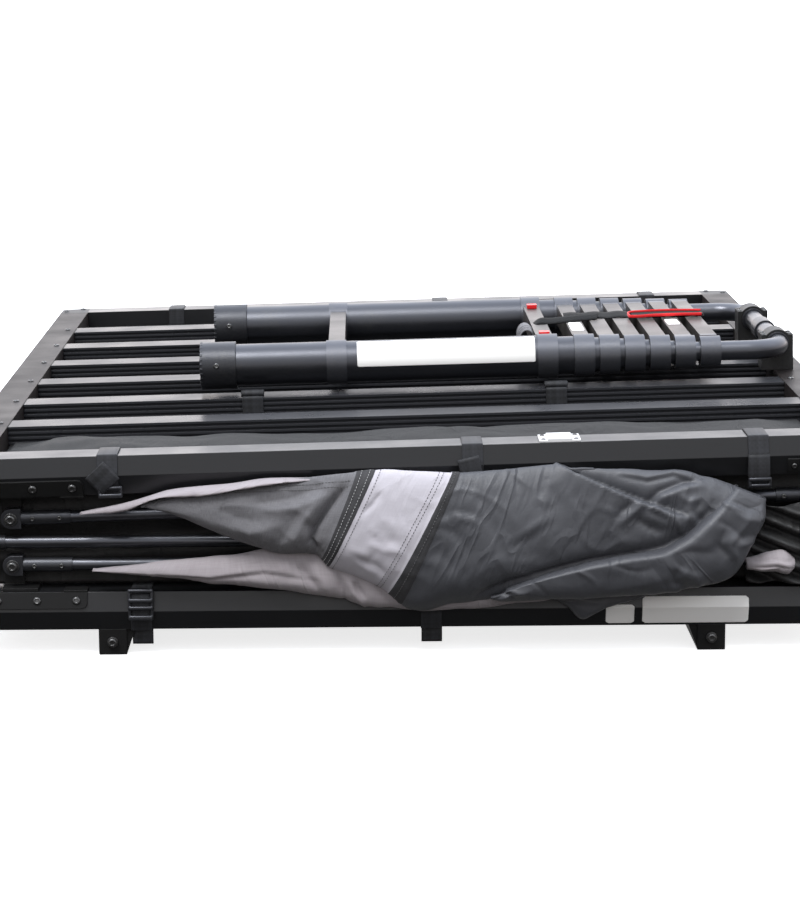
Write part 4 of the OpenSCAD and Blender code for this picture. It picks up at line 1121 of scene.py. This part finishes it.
# Heights of the undersides of the lower and the upper one
LOWER_BED, UPPER_BED = 64.4, 189.0
CHANNELS_X, CHANNELS_Y, CHANNEL_DEPTH, CHANNEL_WIDTH = 7, 8, 0.14, 0.12
# Share that a side pulls in, width of the rounded shoulder, and width of the rim without channels
PULL_IN, SHOULDER, PLAIN_RIM = 0.006, 16.0, 20.0


def mattress(name, node, body, place, bottom):
    """Quilted pad; the grid covers the face that shows, and the rim pulls in between corners."""
    gu, gv = np.meshgrid(np.linspace(-1, 1, 120), np.linspace(-1, 1, 140), indexing="ij")
    pull_x = 1 - PULL_IN * (1 - gv**2)
    pull_y = 1 - PULL_IN * (1 - gu**2)
    x, y = gu * MATTRESS_X * pull_x, gv * MATTRESS_Y * pull_y
    rim = np.minimum((1 - np.abs(gu)) * MATTRESS_X, (1 - np.abs(gv)) * MATTRESS_Y)
    edge = np.clip(rim / SHOULDER, 0, 1)
    shoulder = np.sqrt(1 - (1 - edge) ** 2)
    sewn = np.minimum(np.abs(np.sin(gu * math.pi * CHANNELS_X / 2)),
                      np.abs(np.sin(gv * math.pi * CHANNELS_Y / 2)))
    quilt = 1 - CHANNEL_DEPTH * np.exp(-(sewn / CHANNEL_WIDTH) ** 2)
    half = MATTRESS_THICK / 2 * (0.35 + 0.65 * shoulder) * np.where(rim > PLAIN_RIM, quilt, 1)
    piece = pad_between(name, x, y, bottom + MATTRESS_THICK / 2, half, place, "mattress_cover")
    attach(piece, body)
    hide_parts(node)
    return piece


mattresses = [mattress("lower_mattress_pad", "lower_mattress", "base_half", on_base, LOWER_BED),
              mattress("upper_mattress_pad", "upper_mattress", "lid_half", on_lid, UPPER_BED)]
print("mattresses:", [p.name for p in mattresses])

# %% [markdown]
# ## Cloth tucked in along the upper front rail
#
# Between the front rail and the first slat of the upper half lies a loose strip of dark cloth.
# It bulges up nearly to the top of the rail, and its far edge waves along the slat's side.

# %% Tucked cloth
SKIRT_X, SKIRT_Y0, SKIRT_Y1 = 534.0, -641.0, -463.5
SKIRT_Z, SKIRT_BULGE, SKIRT_FADE, SKIRT_RUN = 236.0, 19.0, 60.0, 178.0


def skirt_grid():
    x = np.linspace(-SKIRT_X, SKIRT_X, 240)
    across = np.linspace(0, 1, 36)
    gx, ga = np.meshgrid(x, across, indexing="ij")
    swell = 0.75 + 0.16 * np.sin(gx / 88.0) + 0.12 * np.sin(gx / 37.0 + 1.3)
    fade = np.clip((SKIRT_X - np.abs(gx)) / SKIRT_FADE, 0.15, 1.0)
    bulge = SKIRT_BULGE * np.sin(math.pi * np.clip(ga * 0.92 + 0.12, 0, 1)) ** 0.6 * swell * fade
    z = SKIRT_Z + bulge + ripple(gx, ga * SKIRT_RUN, 71, (40, 120), (0.6, 2.5), 1.0)
    return np.stack([gx, SKIRT_Y0 + (SKIRT_Y1 - SKIRT_Y0) * ga, z], -1)


skirt, (along, across, _) = cloth_from_grid("lid_skirt_cloth", skirt_grid(), ["skirt_cloth"], place=on_lid)
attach(skirt, "lid_half")
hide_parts("lid_skirt")
print("tucked cloth", round(along, 3), "by", round(across, 3))

# %% [markdown]
# ## Webbing and buckles
#
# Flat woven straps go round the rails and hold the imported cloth. A strap is a flat strip, a few
# points wide, run along a path in its own plane; its edges are a little thinner, as woven edges
# are. Buckles are ladder locks: two posts and two or four bars, all with softened edges. The
# straps of one half are collected in one mesh, and its buckles in another.

# %% Collecting small parts
class Parts:
    """Points, faces, UV and finishes of many small parts that become one mesh."""

    def __init__(self):
        self.points, self.faces, self.uv, self.slots, self.count = [], [], [], [], 0

    def add(self, points, faces, uv=None, slot=0):
        points = np.asarray(points, float).reshape(-1, 3)
        self.points.append(points)
        self.uv.append(points[:, :2] if uv is None else np.asarray(uv, float).reshape(-1, 2))
        self.faces += [tuple(self.count + i for i in f) for f in faces]
        self.slots += [slot] * len(faces)
        self.count += len(points)

    def make(self, name, finishes, smooth=True):
        return make_piece(name, np.vstack(self.points), self.faces, finishes, np.vstack(self.uv),
                          self.slots, smooth)


@functools.lru_cache(None)
def soft_box(size, soft):
    """Box about the origin with rounded edges, as points and faces."""
    box = bmesh.new()
    bmesh.ops.create_cube(box, size=1.0)
    bmesh.ops.scale(box, vec=size, verts=box.verts)
    bmesh.ops.bevel(box, geom=box.edges[:], offset=soft, segments=2, profile=0.6, affect="EDGES")
    box.verts.index_update()
    made = np.array([v.co for v in box.verts]), [[v.index for v in f.verts] for f in box.faces]
    box.free()
    return made


# %% Strips of webbing
STRAP_W, STRAP_T = 27.0, 1.9


def webbing(parts, path, right, place, width=STRAP_W, closed=False, slot=0):
    """Strip along a path of millimetres. right is the strip's width direction, one for all."""
    path, right = np.asarray(path, float), unit(np.asarray(right, float))
    if closed:
        way = np.roll(path, -1, 0) - np.roll(path, 1, 0)
    else:
        way = np.gradient(path, axis=0)
    out = unit(np.cross(right, way))
    across = np.array([-0.5, -0.47, -0.2, 0.2, 0.47, 0.5, 0.47, 0.2, -0.2, -0.47])
    lift = np.array([0.0, 0.42, 0.5, 0.5, 0.42, 0.0, -0.42, -0.5, -0.5, -0.42])
    ring = (path[:, None] + right * (across * width)[None, :, None]
            + out[:, None] * (lift * STRAP_T)[None, :, None])
    n, m = ring.shape[:2]
    faces = []
    for i in range(n if closed else n - 1):
        for j in range(m):
            a, b = i * m + j, ((i + 1) % n) * m + j
            c, d = ((i + 1) % n) * m + (j + 1) % m, i * m + (j + 1) % m
            faces.append((a, d, c, b))
    if not closed:
        faces += [tuple(range(m - 1, -1, -1)), tuple((n - 1) * m + j for j in range(m))]
    along = chain(path)
    uv = np.stack(np.meshgrid(along * MM, across * width * MM, indexing="ij"), -1)
    parts.add(place(ring), faces, uv, slot)


# Outline of the lower half's rail, as y and z: its outer face has a ridge at half height
RAIL_IN, RAIL_OUT, RAIL_RIDGE = 645.0, 693.0, 700.0
RAIL_LOW, RAIL_MID, RAIL_TOP = 34.0, 59.0, 84.0
RIDGE_OUT, RIDGE_HALF = RAIL_RIDGE - RAIL_OUT, RAIL_TOP - RAIL_MID
RAIL = [(RAIL_IN, RAIL_LOW), (RAIL_OUT, RAIL_LOW), (RAIL_RIDGE, RAIL_MID), (RAIL_OUT, RAIL_TOP),
        (RAIL_IN, RAIL_TOP)]


def at_x(x, y, z):
    """Path of points that all lie at the same place along the tent."""
    return np.stack([np.full(len(y), float(x)), y, z], -1)


def rail_loop(x, off, side, flip):
    """Path round a rail with rounded corners. flip turns it over for the upper half."""
    corners = np.array(RAIL)
    loop = []
    for k, corner in enumerate(corners):
        before, after = corner - corners[k - 1], corners[(k + 1) % len(corners)] - corner
        a0 = math.atan2(-before[0], before[1])
        a1 = math.atan2(-after[0], after[1])
        turn = (a1 - a0) % (2 * math.pi)
        for t in np.linspace(0, 1, 5):
            a = a0 + t * turn
            loop.append(corner + off * np.array([math.cos(a), math.sin(a)]))
    loop = np.array(loop)
    y, z = loop[:, 0] * side, loop[:, 1]
    if flip:
        z = 2 * HINGE_Z - z
    return at_x(x, y, z)


def buckle(parts, at, side, wide, tall, bars, place):
    """Ladder lock that hangs upright: two posts, and bars at the given heights and depths."""
    post, post_depth = 4.0, 5.2
    pieces = [((k * (wide - post) / 2, 0, post_depth / 2), (post, tall, post_depth)) for k in (-1, 1)]
    pieces += [((0, high, depth), (wide - 2.0, thick, thick)) for high, depth, thick in bars]
    for middle, size in pieces:
        points, faces = soft_box(size, 1.6)
        local = points + np.array(middle)
        world = np.asarray(at, float) + np.stack([local[:, 0], local[:, 2] * side, local[:, 1]], -1)
        parts.add(place(world), [f[::-1] for f in faces] if side > 0 else faces)


# %% Straps and buckles of the two halves
SIDES = (-1, 1)
LID_STRAP_X, BASE_STRAP_X, STRAP_OFF = [-388.0, 80.0, 447.0], [-351.0, 24.0], 1.3
# Ends that hang below the lower rail: distance from the middle, two heights and the sway
HANG_Y, HANG_TOP, HANG_END, HANG_SWAY = 687.0, 33.0, 13.0, 1.2
# Free ends of straps that lie on a rail: middle, lean in degrees, length and width
LID_FLAPS = [((-394.0, 703.4, 231.0), 48, 32, 30), ((78.0, 703.8, 223.0), -12, 42, 28),
             ((447.0, 702.4, 217.0), 0, 38, 28)]
BASE_FLAPS = [((-351.0, 701.6, 67.0), 0, 34, 25)]
# Buckles: place, width, height, and the height, depth and thickness of each bar
LID_BUCKLES = [((-385.0, 699.5, 212.5), 31.0, 15.0, [(5.2, 3.4, 4.6), (-4.6, 4.0, 5.4)]),
               ((448.0, 700.5, 200.0), 30.0, 13.0, [(4.0, 3.6, 5.0), (-4.0, 3.0, 4.2)])]
BASE_BUCKLES = [((-351.0, 701.0, 69.5), 33.0, 41.0,
                 [(18.0, 3.0, 4.6), (5.5, 4.6, 5.0), (-4.5, 4.2, 4.6), (-17.5, 4.4, 6.4)])]


def flat_flap(parts, centre, side, lean, length, width, place):
    """Free end of a strap: a short flat strip that lies on the rail, turned by lean degrees."""
    x, y, z = centre
    a = math.radians(lean)
    reach = np.linspace(-length / 2, length / 2, 10)
    curl = 2.0 * np.sin(np.linspace(0, math.pi, 10))
    path = np.stack([x + reach * math.sin(a), (y + curl) * side, z + reach * math.cos(a)], -1)
    webbing(parts, path, (math.cos(a), 0, -math.sin(a)), place, width)


def hanging_tail(parts, x, side):
    """End of a strap that hangs down below the lower rail."""
    sway = HANG_SWAY * np.sin(np.linspace(0, 3, 8))
    path = at_x(x + 1.0, (HANG_Y + sway) * side, np.linspace(HANG_TOP, HANG_END, 8))
    webbing(parts, path, (1, 0, 0), on_base)


def make_straps():
    lid, base = Parts(), Parts()
    for side in SIDES:
        for x in LID_STRAP_X:
            webbing(lid, rail_loop(x, STRAP_OFF, side, True), (1, 0, 0), on_lid, closed=True)
        for x in BASE_STRAP_X:
            webbing(base, rail_loop(x, STRAP_OFF, side, False), (1, 0, 0), on_base, closed=True)
            hanging_tail(base, x, side)
        for parts, flaps, place in ((lid, LID_FLAPS, on_lid), (base, BASE_FLAPS, on_base)):
            for centre, lean, length, width in flaps:
                flat_flap(parts, centre, side, lean, length, width, place)
    return lid.make("lid_webbing", ["webbing_black"]), base.make("base_webbing", ["webbing_black"])


def make_buckles(name, buckles, place):
    parts = Parts()
    for side in SIDES:
        for (x, y, z), wide, tall, bars in buckles:
            buckle(parts, (x, y * side, z), side, wide, tall, bars, place)
    return parts.make(name, ["moulded_black"])


lid_webbing, base_webbing = make_straps()
lid_locks = make_buckles("lid_ladder_locks", LID_BUCKLES, on_lid)
base_locks = make_buckles("base_ladder_locks", BASE_BUCKLES, on_base)
for piece, body, node in ((lid_webbing, "lid_half", "lid_straps"),
                          (base_webbing, "base_half", "base_straps"),
                          (lid_locks, "lid_half", "lid_buckles"),
                          (base_locks, "base_half", "base_buckles")):
    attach(piece, body)
    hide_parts(node)
    print(piece.name, "has", len(piece.data.polygons), "faces")

# %% [markdown]
# ## Straps on and under the ladder
#
# Two short straps hang over a slat beside each stile and end in a keeper loop. On the closed
# rungs lies a black strap with a red hook-and-loop end that is folded back on itself, and beside
# the red buttons a grey webbing is wound into a small bundle.

# %% Straps over a slat
TIE_X, TIE_OFF, TIE_WIDTH, KEEPER_WIDTH = [-217.0, 218.0], 1.4, 30.0, 33.0
TIE_SLAT_Y, SLAT_HALF, SLAT_TOP, SLAT_LOW = 261.6, 25.0, 257.0, 232.0


def tie_path(x, y):
    """Up one side of the slat, over it and down the other side."""
    half, over = SLAT_HALF + TIE_OFF, SLAT_TOP + TIE_OFF
    corners = [(y - half, SLAT_LOW + 1), (y - half, SLAT_TOP - 4), (y - half, SLAT_TOP),
               (y - half + 1, over), (y - half + 5, over), (y + half - 5, over), (y + half - 1, over),
               (y + half, SLAT_TOP), (y + half, SLAT_TOP - 4), (y + half, SLAT_LOW + 1)]
    fine = spline(corners, chain(corners), [6, 3, 3, 3, 8, 3, 3, 3, 6])
    return at_x(x, *fine.T)


def keeper_path(x, side):
    """Small loop that stands on the strap near the slat's outer edge."""
    rim = TIE_SLAT_Y * side + side * (SLAT_HALF - 3.0)
    loop = [(x, rim, SLAT_TOP + 1.4), (x, rim + 2.4 * side, SLAT_TOP + 6), (x, rim, SLAT_TOP + 9.5),
            (x, rim - 7 * side, SLAT_TOP + 9.0), (x, rim - 10 * side, SLAT_TOP + 4)]
    return spline(loop, chain(loop), [5, 5, 5, 5])


ties = Parts()
for side in SIDES:
    for x in TIE_X:
        webbing(ties, tie_path(x, TIE_SLAT_Y * side), (1, 0, 0), on_lid, TIE_WIDTH)
        webbing(ties, keeper_path(x, side), (1, 0, 0), on_lid, KEEPER_WIDTH)
tie_webbing = ties.make("ladder_tie_webbing", ["webbing_black"])
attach(tie_webbing, "lid_half")
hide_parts("ladder_tie_straps")
print("straps over a slat:", len(TIE_X) * len(SIDES))

# %% Strap on the closed rungs
RUNG_TOP, RUNG_STEP, SECOND_RUNG_X = 22.0, 36.5, 261.5
DOUBLED_X, DOUBLED_LENGTH = 350, 108.0


def ladder_strap_parts():
    """Black strap over the rungs; its far half is doubled back and has a red edge all round."""
    parts = Parts()
    x = np.linspace(250, 462, 60)
    dip = (1 - np.cos((x - SECOND_RUNG_X) / RUNG_STEP * 2 * math.pi)) / 2
    path = np.stack([x, 26 + 2.0 * np.sin(x / 40), RUNG_TOP + 3.4 - 1.5 * dip], -1)
    webbing(parts, path, (0, 1, 0.12), on_ladder, 38.0)
    lead = [(196, -26, 17), (208, -24, RUNG_TOP + 3.0), (226, -20, RUNG_TOP + 2.6),
            (250, -12, RUNG_TOP + 3.4), (300, 4, RUNG_TOP + 4.4)]
    webbing(parts, spline(lead, chain(lead), [6, 8, 10, 14]), (0.2, 1, 0.25), on_ladder, 26.0)
    x = np.linspace(DOUBLED_X, 458, 40)
    sway = np.sin((x - DOUBLED_X) / DOUBLED_LENGTH * math.pi)
    webbing(parts, np.stack([x, 0 * x + 2, RUNG_TOP + 5.6 + sway], -1), (0, 1, 0.04), on_ladder, 30.0)
    rim = [(456, -13), (420, -15), (380, -17), (356, -18), (348, -15), (346, -4), (347, 10), (352, 17),
           (366, 18), (410, 17), (458, 16)]
    fine = spline(rim, chain(rim), [10, 10, 8, 5, 5, 5, 5, 5, 12, 14])
    sway = np.sin((fine[:, :1] - DOUBLED_X) / DOUBLED_LENGTH * math.pi)
    lift = RUNG_TOP + 6.4 + 1.2 * sway + fine[:, 1:] * 0.05
    webbing(parts, np.concatenate([fine, lift], 1), (0, 0, 1), on_ladder, 4.6, slot=1)
    return parts


ladder_webbing = ladder_strap_parts().make("ladder_strap_webbing", ["strap_black", "webbing_red"])
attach(ladder_webbing, "ladder_head")
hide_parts("ladder_strap")
print("strap on the rungs:", len(ladder_webbing.data.polygons), "faces")

# %% Bundle of wound webbing
TURNS, TURN_STEPS, TURN_PITCH, TURN_WIDTH = 7, 28, 10.5, 10.0
BUNDLE_X, BUNDLE_Y, BUNDLE_Z, BUNDLE_REACH, BUNDLE_FLAT = 187.0, -78.0, 6.0, 17.0, 0.72


def bundle_parts():
    """Webbing wound up flat beside the first rung, seen as a row of turns."""
    parts = Parts()
    turn = np.linspace(0, 2 * math.pi, TURN_STEPS, endpoint=False)
    for k in range(TURNS):
        reach = BUNDLE_REACH - 0.5 * abs(k - TURNS // 2)
        x = BUNDLE_X + BUNDLE_FLAT * reach * np.cos(turn)
        y = np.full(TURN_STEPS, BUNDLE_Y + TURN_PITCH * k)
        path = np.stack([x, y, BUNDLE_Z + reach * np.sin(turn)], -1)
        webbing(parts, path, (0.08, 1, 0.04 * (-1) ** k), on_ladder, TURN_WIDTH, closed=True)
    return parts


bundle = bundle_parts().make("wound_webbing", ["canopy_heather"])
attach(bundle, "ladder_section_1")
print("wound webbing:", TURNS, "turns")

# %% [markdown]
# ## Screws, bolts and rivets
#
# The frame is held by button-head screws with a hexagon socket. One head is made as a small
# ring of faces, and a Geometry Nodes group sets it on every place: the places are bare points
# that carry the direction the head looks in and its radius. The same group sets the rivets of
# the bow fittings and the grip teeth on the rims of the ladder's foot caps.

# %% Fastener group and the two small forms
def build_fasteners():
    g, into, out = new_placer("fasteners", {"Form": "Object"})
    axis = add(g, "InputNamedAttribute", {"Name": "axis"}, data_type="FLOAT_VECTOR").outputs[0]
    size = add(g, "InputNamedAttribute", {"Name": "size"}, data_type="FLOAT").outputs[0]
    form = add(g, "ObjectInfo", {"Object": into["Form"]}).outputs["Geometry"]
    feed(g, out[0], place_forms(g, into["Geometry"], form, axis, size, into["Material"]))
    return g


def head_form():
    """Button head of radius 1 that looks along Z, with a hexagon socket."""
    turn = np.linspace(0, 2 * math.pi, 12, endpoint=False)
    hexagon = np.where(np.arange(12) % 2 == 0, 0.56, 0.485)
    rings = [(1.0, 0.0), (1.0, 0.16), (0.86, 0.38), (0.66, 0.5), (hexagon, 0.52), (hexagon, 0.16)]
    points = np.vstack([np.stack([r * np.cos(turn), r * np.sin(turn), 0 * turn + z], -1) for r, z in rings])
    faces = [(12 * k + i, 12 * k + (i + 1) % 12, 12 * k + 12 + (i + 1) % 12, 12 * k + 12 + i)
             for k in range(len(rings) - 1) for i in range(12)]
    last = 12 * (len(rings) - 1)
    faces += [tuple(range(11, -1, -1)), tuple(range(last, last + 12))]
    return make_piece("head_form", points, faces, ["dark_steel"], points[:, :2], smooth=False)


def tooth_form():
    points, faces = soft_box((1.0, 1.0, 1.0), 0.25)
    return make_piece("tooth_form", points, faces, ["foot_rubber"], points[:, :2])


fastener_group = build_fasteners()
forms = {"head": head_form(), "tooth": tooth_form()}
print("fastener forms:", list(forms))


def set_fasteners(name, places, form, finish):
    """places: rows of (x, y, z, axis x, axis y, axis z, radius), in metres."""
    rows = np.asarray(places, float)
    values = {"Form": forms[form], "Material": looks[finish]}
    carried = {"axis": ("FLOAT_VECTOR", "vector", rows[:, 3:6]), "size": ("FLOAT", "value", rows[:, 6])}
    return run_group(name, rows[:, :3], [], fastener_group, values, carried)


def fixed(place, at, axis, radius):
    """One fastener, with its direction turned as its place is."""
    start = place(at)
    way = place(np.asarray(at, float) + np.asarray(axis, float)) - start
    return tuple(start) + tuple(unit(way)) + (radius * MM,)


# %% Screws of the two halves
SCREW_X, SLAT_ROWS, FRAME_SCREW_R = 558.0, (87.2, 261.6, 436.0), 4.5
CORNER_SCREWS = [(584.0, 661.0), (557.0, 684.0)]
# Hinge plates lie on the rail's sloping face; their screw heads look along its normal
LEAF_X, LEAF_Y, LEAF_SINK, LEAF_SCREW_R = (-434.0, -484.7, -535.3, -586.0), 700.1, 1.5, 5.5
LEAF_OUT, LEAF_UP = 0.963, -0.27
KEEPER_X, KEEPER_Y, KEEPER_Z, KEEPER_SCREW_R = (172.0, 214.4), (-683.0, -657.0), 260.0, 3.5
BLOCK_X, BLOCK_Y, BLOCK_Z, BLOCK_BOLT_R = (531.6, 570.4), (-132.5, -114.5, 114.5, 132.5), 13.0, 3.2


def frame_places(place, z, leaf_z, up):
    made = []
    for sx in SIDES:
        for sy in SIDES:
            for x, y in [(SCREW_X, y) for y in SLAT_ROWS] + CORNER_SCREWS:
                made.append(fixed(place, (sx * x, sy * y, z), (0, 0, up), FRAME_SCREW_R))
    for sy in SIDES:
        for x in LEAF_X:
            axis = np.array([0, LEAF_OUT * sy, LEAF_UP * up])
            at = np.array([x, LEAF_Y * sy, leaf_z]) - LEAF_SINK * axis
            made.append(fixed(place, at, axis, LEAF_SCREW_R))
    return made


def flat_places(place, xs, ys, z, radius):
    return [fixed(place, (x, y, z), (0, 0, 1), radius) for x in xs for y in ys]


base_places = frame_places(on_base, z=34.0, leaf_z=74.2, up=-1)
lid_places = frame_places(on_lid, z=258.0, leaf_z=217.8, up=1)
lid_places += flat_places(on_lid, KEEPER_X, KEEPER_Y, KEEPER_Z, KEEPER_SCREW_R)
lid_places += flat_places(on_ladder, BLOCK_X, BLOCK_Y, BLOCK_Z, BLOCK_BOLT_R)
for name, places, body, node in (("base_screw_heads", base_places, "base_half", "base_screws"),
                                 ("lid_screw_heads", lid_places, "lid_half", "lid_screws")):
    piece = set_fasteners(name, places, "head", "dark_steel")
    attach(piece, body)
    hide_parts(node)
print("screws:", len(base_places), "below and", len(lid_places), "above")

# %% Bolts, rivets and foot screws
# Heights of the three bows' legs, which are also those of their pivots
LOWER_Z, MIDDLE_Z, UPPER_Z = 116, 146, 176
PIVOT_X, PIVOT_Y, PIVOT_R = -517, 685.2, 7.0
PIN_Y, PIN_R = 699.8, 7.5
TRACK_X, TRACK_Y, TRACK_Z, TRACK_R = 389, 696.9, 17, 6.2
RIVET_X, MIDDLE_RIVET_X, RIVET_Y, RIVET_R = (-489, -454, 482), (-575, -540, 482), 681.3, 3.4
FOOT_R, FOOT_X0, FOOT_SCREW_X, FOOT_SCREW, FOOT_SCREW_R = 34.0, -291.5, -268.0, math.radians(8), 4.4
STILES = (-196.0, 196.0)
TEETH, TOOTH_SINK, TOOTH_SIZE = 30, 1.6, 4.2


def both(place, xs, y, z, radius):
    """The same fastener on the front and on the back, at each of some places along X."""
    return [fixed(place, (x, y * sy, z), (0, sy, 0), radius) for x in xs for sy in SIDES]


def round_foot(x, y, angle, sink, radius):
    """A small thing on the round side of a foot cap, which looks outwards."""
    axis = np.array([0, math.cos(angle), math.sin(angle)])
    return fixed(on_ladder, np.array([x, y, 0.0]) + axis * (FOOT_R - sink), axis, radius)


head_sets = [
    ("base_bolt_sockets", "base_half",
     both(on_base, [PIVOT_X], PIVOT_Y, LOWER_Z, PIVOT_R) + both(on_base, [HINGE_X], PIN_Y, HINGE_Z, PIN_R)
     + both(on_base, [-TRACK_X, TRACK_X], TRACK_Y, TRACK_Z, TRACK_R)),
    ("lid_bolt_sockets", "lid_half", both(on_lid, [PIVOT_X], PIVOT_Y, UPPER_Z, PIVOT_R)),
    ("lower_bow_rivets", "lower_hoop", both(on_base, RIVET_X, RIVET_Y, LOWER_Z, RIVET_R)),
    ("middle_bow_rivets", "middle_hoop", both(on_base, MIDDLE_RIVET_X, RIVET_Y, MIDDLE_Z, RIVET_R)),
    ("upper_bow_rivets", "upper_hoop", both(on_lid, RIVET_X, RIVET_Y, UPPER_Z, RIVET_R)),
    ("foot_cap_screws", "ladder_section_1",
     [round_foot(FOOT_SCREW_X, y, math.pi - FOOT_SCREW, 0.4, FOOT_SCREW_R) for y in STILES]),
]
for name, body, places in head_sets:
    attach(set_fasteners(name, places, "head", "dark_steel"), body)

teeth = [round_foot(FOOT_X0 + TOOTH_SINK, y, 2 * math.pi * k / TEETH, TOOTH_SINK, TOOTH_SIZE)
         for y in STILES for k in range(TEETH)]
foot_teeth = set_fasteners("foot_cap_teeth", teeth, "tooth", "foot_rubber")
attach(foot_teeth, "ladder_section_1")
print("bolts, rivets and teeth:", [(name, len(places)) for name, _, places in head_sets], len(teeth))

# %% [markdown]
# ## Stickers
#
# Thin foil stickers sit on the lower front rail, round the front stile and on two rungs. They
# are left blank. A sticker is a strip of points with rounded corners that follows the surface
# under it and stands a third of a millimetre off.

# %% Sticker maker
FOIL, FOIL_GAP = 0.35, 0.02


def sticker(parts, path, right, length, place, corner=4.0):
    """Foil along a path of millimetres; its length lies in the direction right."""
    path, right = np.asarray(path, float), np.asarray(right, float)
    out = unit(np.cross(np.gradient(path, axis=0), right))
    at = chain(path)
    inset = np.clip(corner - np.minimum(at, at[-1] - at), 0, corner)
    half = length / 2 - corner + np.sqrt(np.clip(corner**2 - inset**2, 0, None))
    across = np.linspace(-1, 1, 9)
    face = path[:, None] + right * (across[None, :, None] * half[:, None, None])
    points, faces = two_sided(face + out[:, None] * FOIL, face + out[:, None] * FOIL_GAP)
    parts.add(place(points), faces)


# %% Stickers on the rail, the stile and the rungs
# Middle, length, upper and lower edge of each sticker on the rail. The one round the stile goes
# from one angle to another, in degrees, and those on the rungs are all as wide.
RAIL_STICKERS = [(367.0, 138.0, 73.0, 37.0), (269.0, 37.0, 63.0, 37.0)]
STILE_X, STILE_LENGTH, STILE_R, STILE_FROM, STILE_TO = 62.0, 256.0, 30.2, 78, -6
RUNG_STICKER_WIDTH = 19.0


def rail_stickers():
    """Down the front rail's outer faces, across the ridge."""
    parts = Parts()
    for middle, length, high, low in RAIL_STICKERS:
        near_ridge = [RAIL_MID - 0.8, RAIL_MID, RAIL_MID + 0.8]
        z = np.unique(np.concatenate([np.linspace(low, high, 14), near_ridge]))[::-1]
        y = -(RAIL_RIDGE - np.abs(z - RAIL_MID) * RIDGE_OUT / RIDGE_HALF)
        sticker(parts, at_x(middle, y, z), (1, 0, 0), length, on_base)
    return parts


def stile_sticker():
    parts = Parts()
    turn = np.radians(np.linspace(STILE_FROM, STILE_TO, 48))
    path = at_x(STILE_X, STILES[0] - STILE_R * np.cos(turn), STILE_R * np.sin(turn))
    sticker(parts, path, (1, 0, 0), STILE_LENGTH, on_ladder, 2.0)
    return parts


def rung_sticker(x, spans):
    parts = Parts()
    for low, high in spans:
        path = at_x(x, np.linspace(high, low, 12), np.full(12, RUNG_TOP))
        sticker(parts, path, (1, 0, 0), RUNG_STICKER_WIDTH, on_ladder, 1.5)
    return parts


sticker_sets = [
    ("base_rail_stickers", "base_half", rail_stickers()),
    ("stile_sticker", "ladder_section_1", stile_sticker()),
    ("rung_sticker_2", "ladder_section_2", rung_sticker(SECOND_RUNG_X, [(-106.0, -24.0), (42.0, 78.0)])),
    ("rung_sticker_6", "ladder_section_6", rung_sticker(SECOND_RUNG_X + 4 * RUNG_STEP, [(-72.0, -18.0)])),
]
for name, body, parts in sticker_sets:
    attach(parts.make(name, ["blank_label"], smooth=False), body)
print("stickers:", [name for name, _, _ in sticker_sets])

# %% [markdown]
# ## Latch plate
#
# A thin plate is screwed to the lower face of the upper front rail near its far end. The back
# rail has the same one. After it, the two small forms have served and are taken away.

# %% Latch plates
LATCH_X0, LATCH_L, LATCH_H, LATCH_T, LATCH_DOWN = 484.0, 66.0, 20.0, 2.4, 12.5
LATCH_GAP, LATCH_SCREW_X, LATCH_SCREW_R = 0.1, (-24.0, 24.0), 3.6


def upper_face(x, side, down):
    """Origin and directions on an upper rail's lower sloping face, so far from the rail's edge."""
    slope = unit(np.array([0.0, RIDGE_OUT * side, -RIDGE_HALF]))
    out = unit(np.array([0.0, RIDGE_HALF * side, RIDGE_OUT]))
    origin = np.array([x, RAIL_OUT * side, RAIL_TOP]) + slope * down
    origin[2] = 2 * HINGE_Z - origin[2]
    slope[2], out[2] = -slope[2], -out[2]
    return origin, np.array([1.0, 0, 0]), slope, out


latch, latch_places = Parts(), []
points, faces = soft_box((LATCH_L, LATCH_H, LATCH_T), 0.8)
for side in SIDES:
    origin, right, slope, out = upper_face(LATCH_X0 + LATCH_L / 2, side, LATCH_DOWN)
    raised = (points[:, 2:3] + LATCH_T / 2 + LATCH_GAP) * out
    world = origin + points[:, :1] * right + points[:, 1:2] * slope + raised
    turned = np.dot(np.cross(right, slope), out) < 0
    latch.add(on_lid(world), [f[::-1] for f in faces] if turned else faces)
    for x in LATCH_SCREW_X:
        at = origin + right * x + out * (LATCH_T + LATCH_GAP)
        latch_places.append(fixed(on_lid, at, out, LATCH_SCREW_R))
latch_plates = latch.make("lid_latch_plates", ["bracket_coat"])
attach(latch_plates, "lid_half")
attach(set_fasteners("latch_screws", latch_places, "head", "dark_steel"), "lid_half")
for form in forms.values():
    bpy.data.objects.remove(form)
print("latch plates with", len(latch_places), "screws")
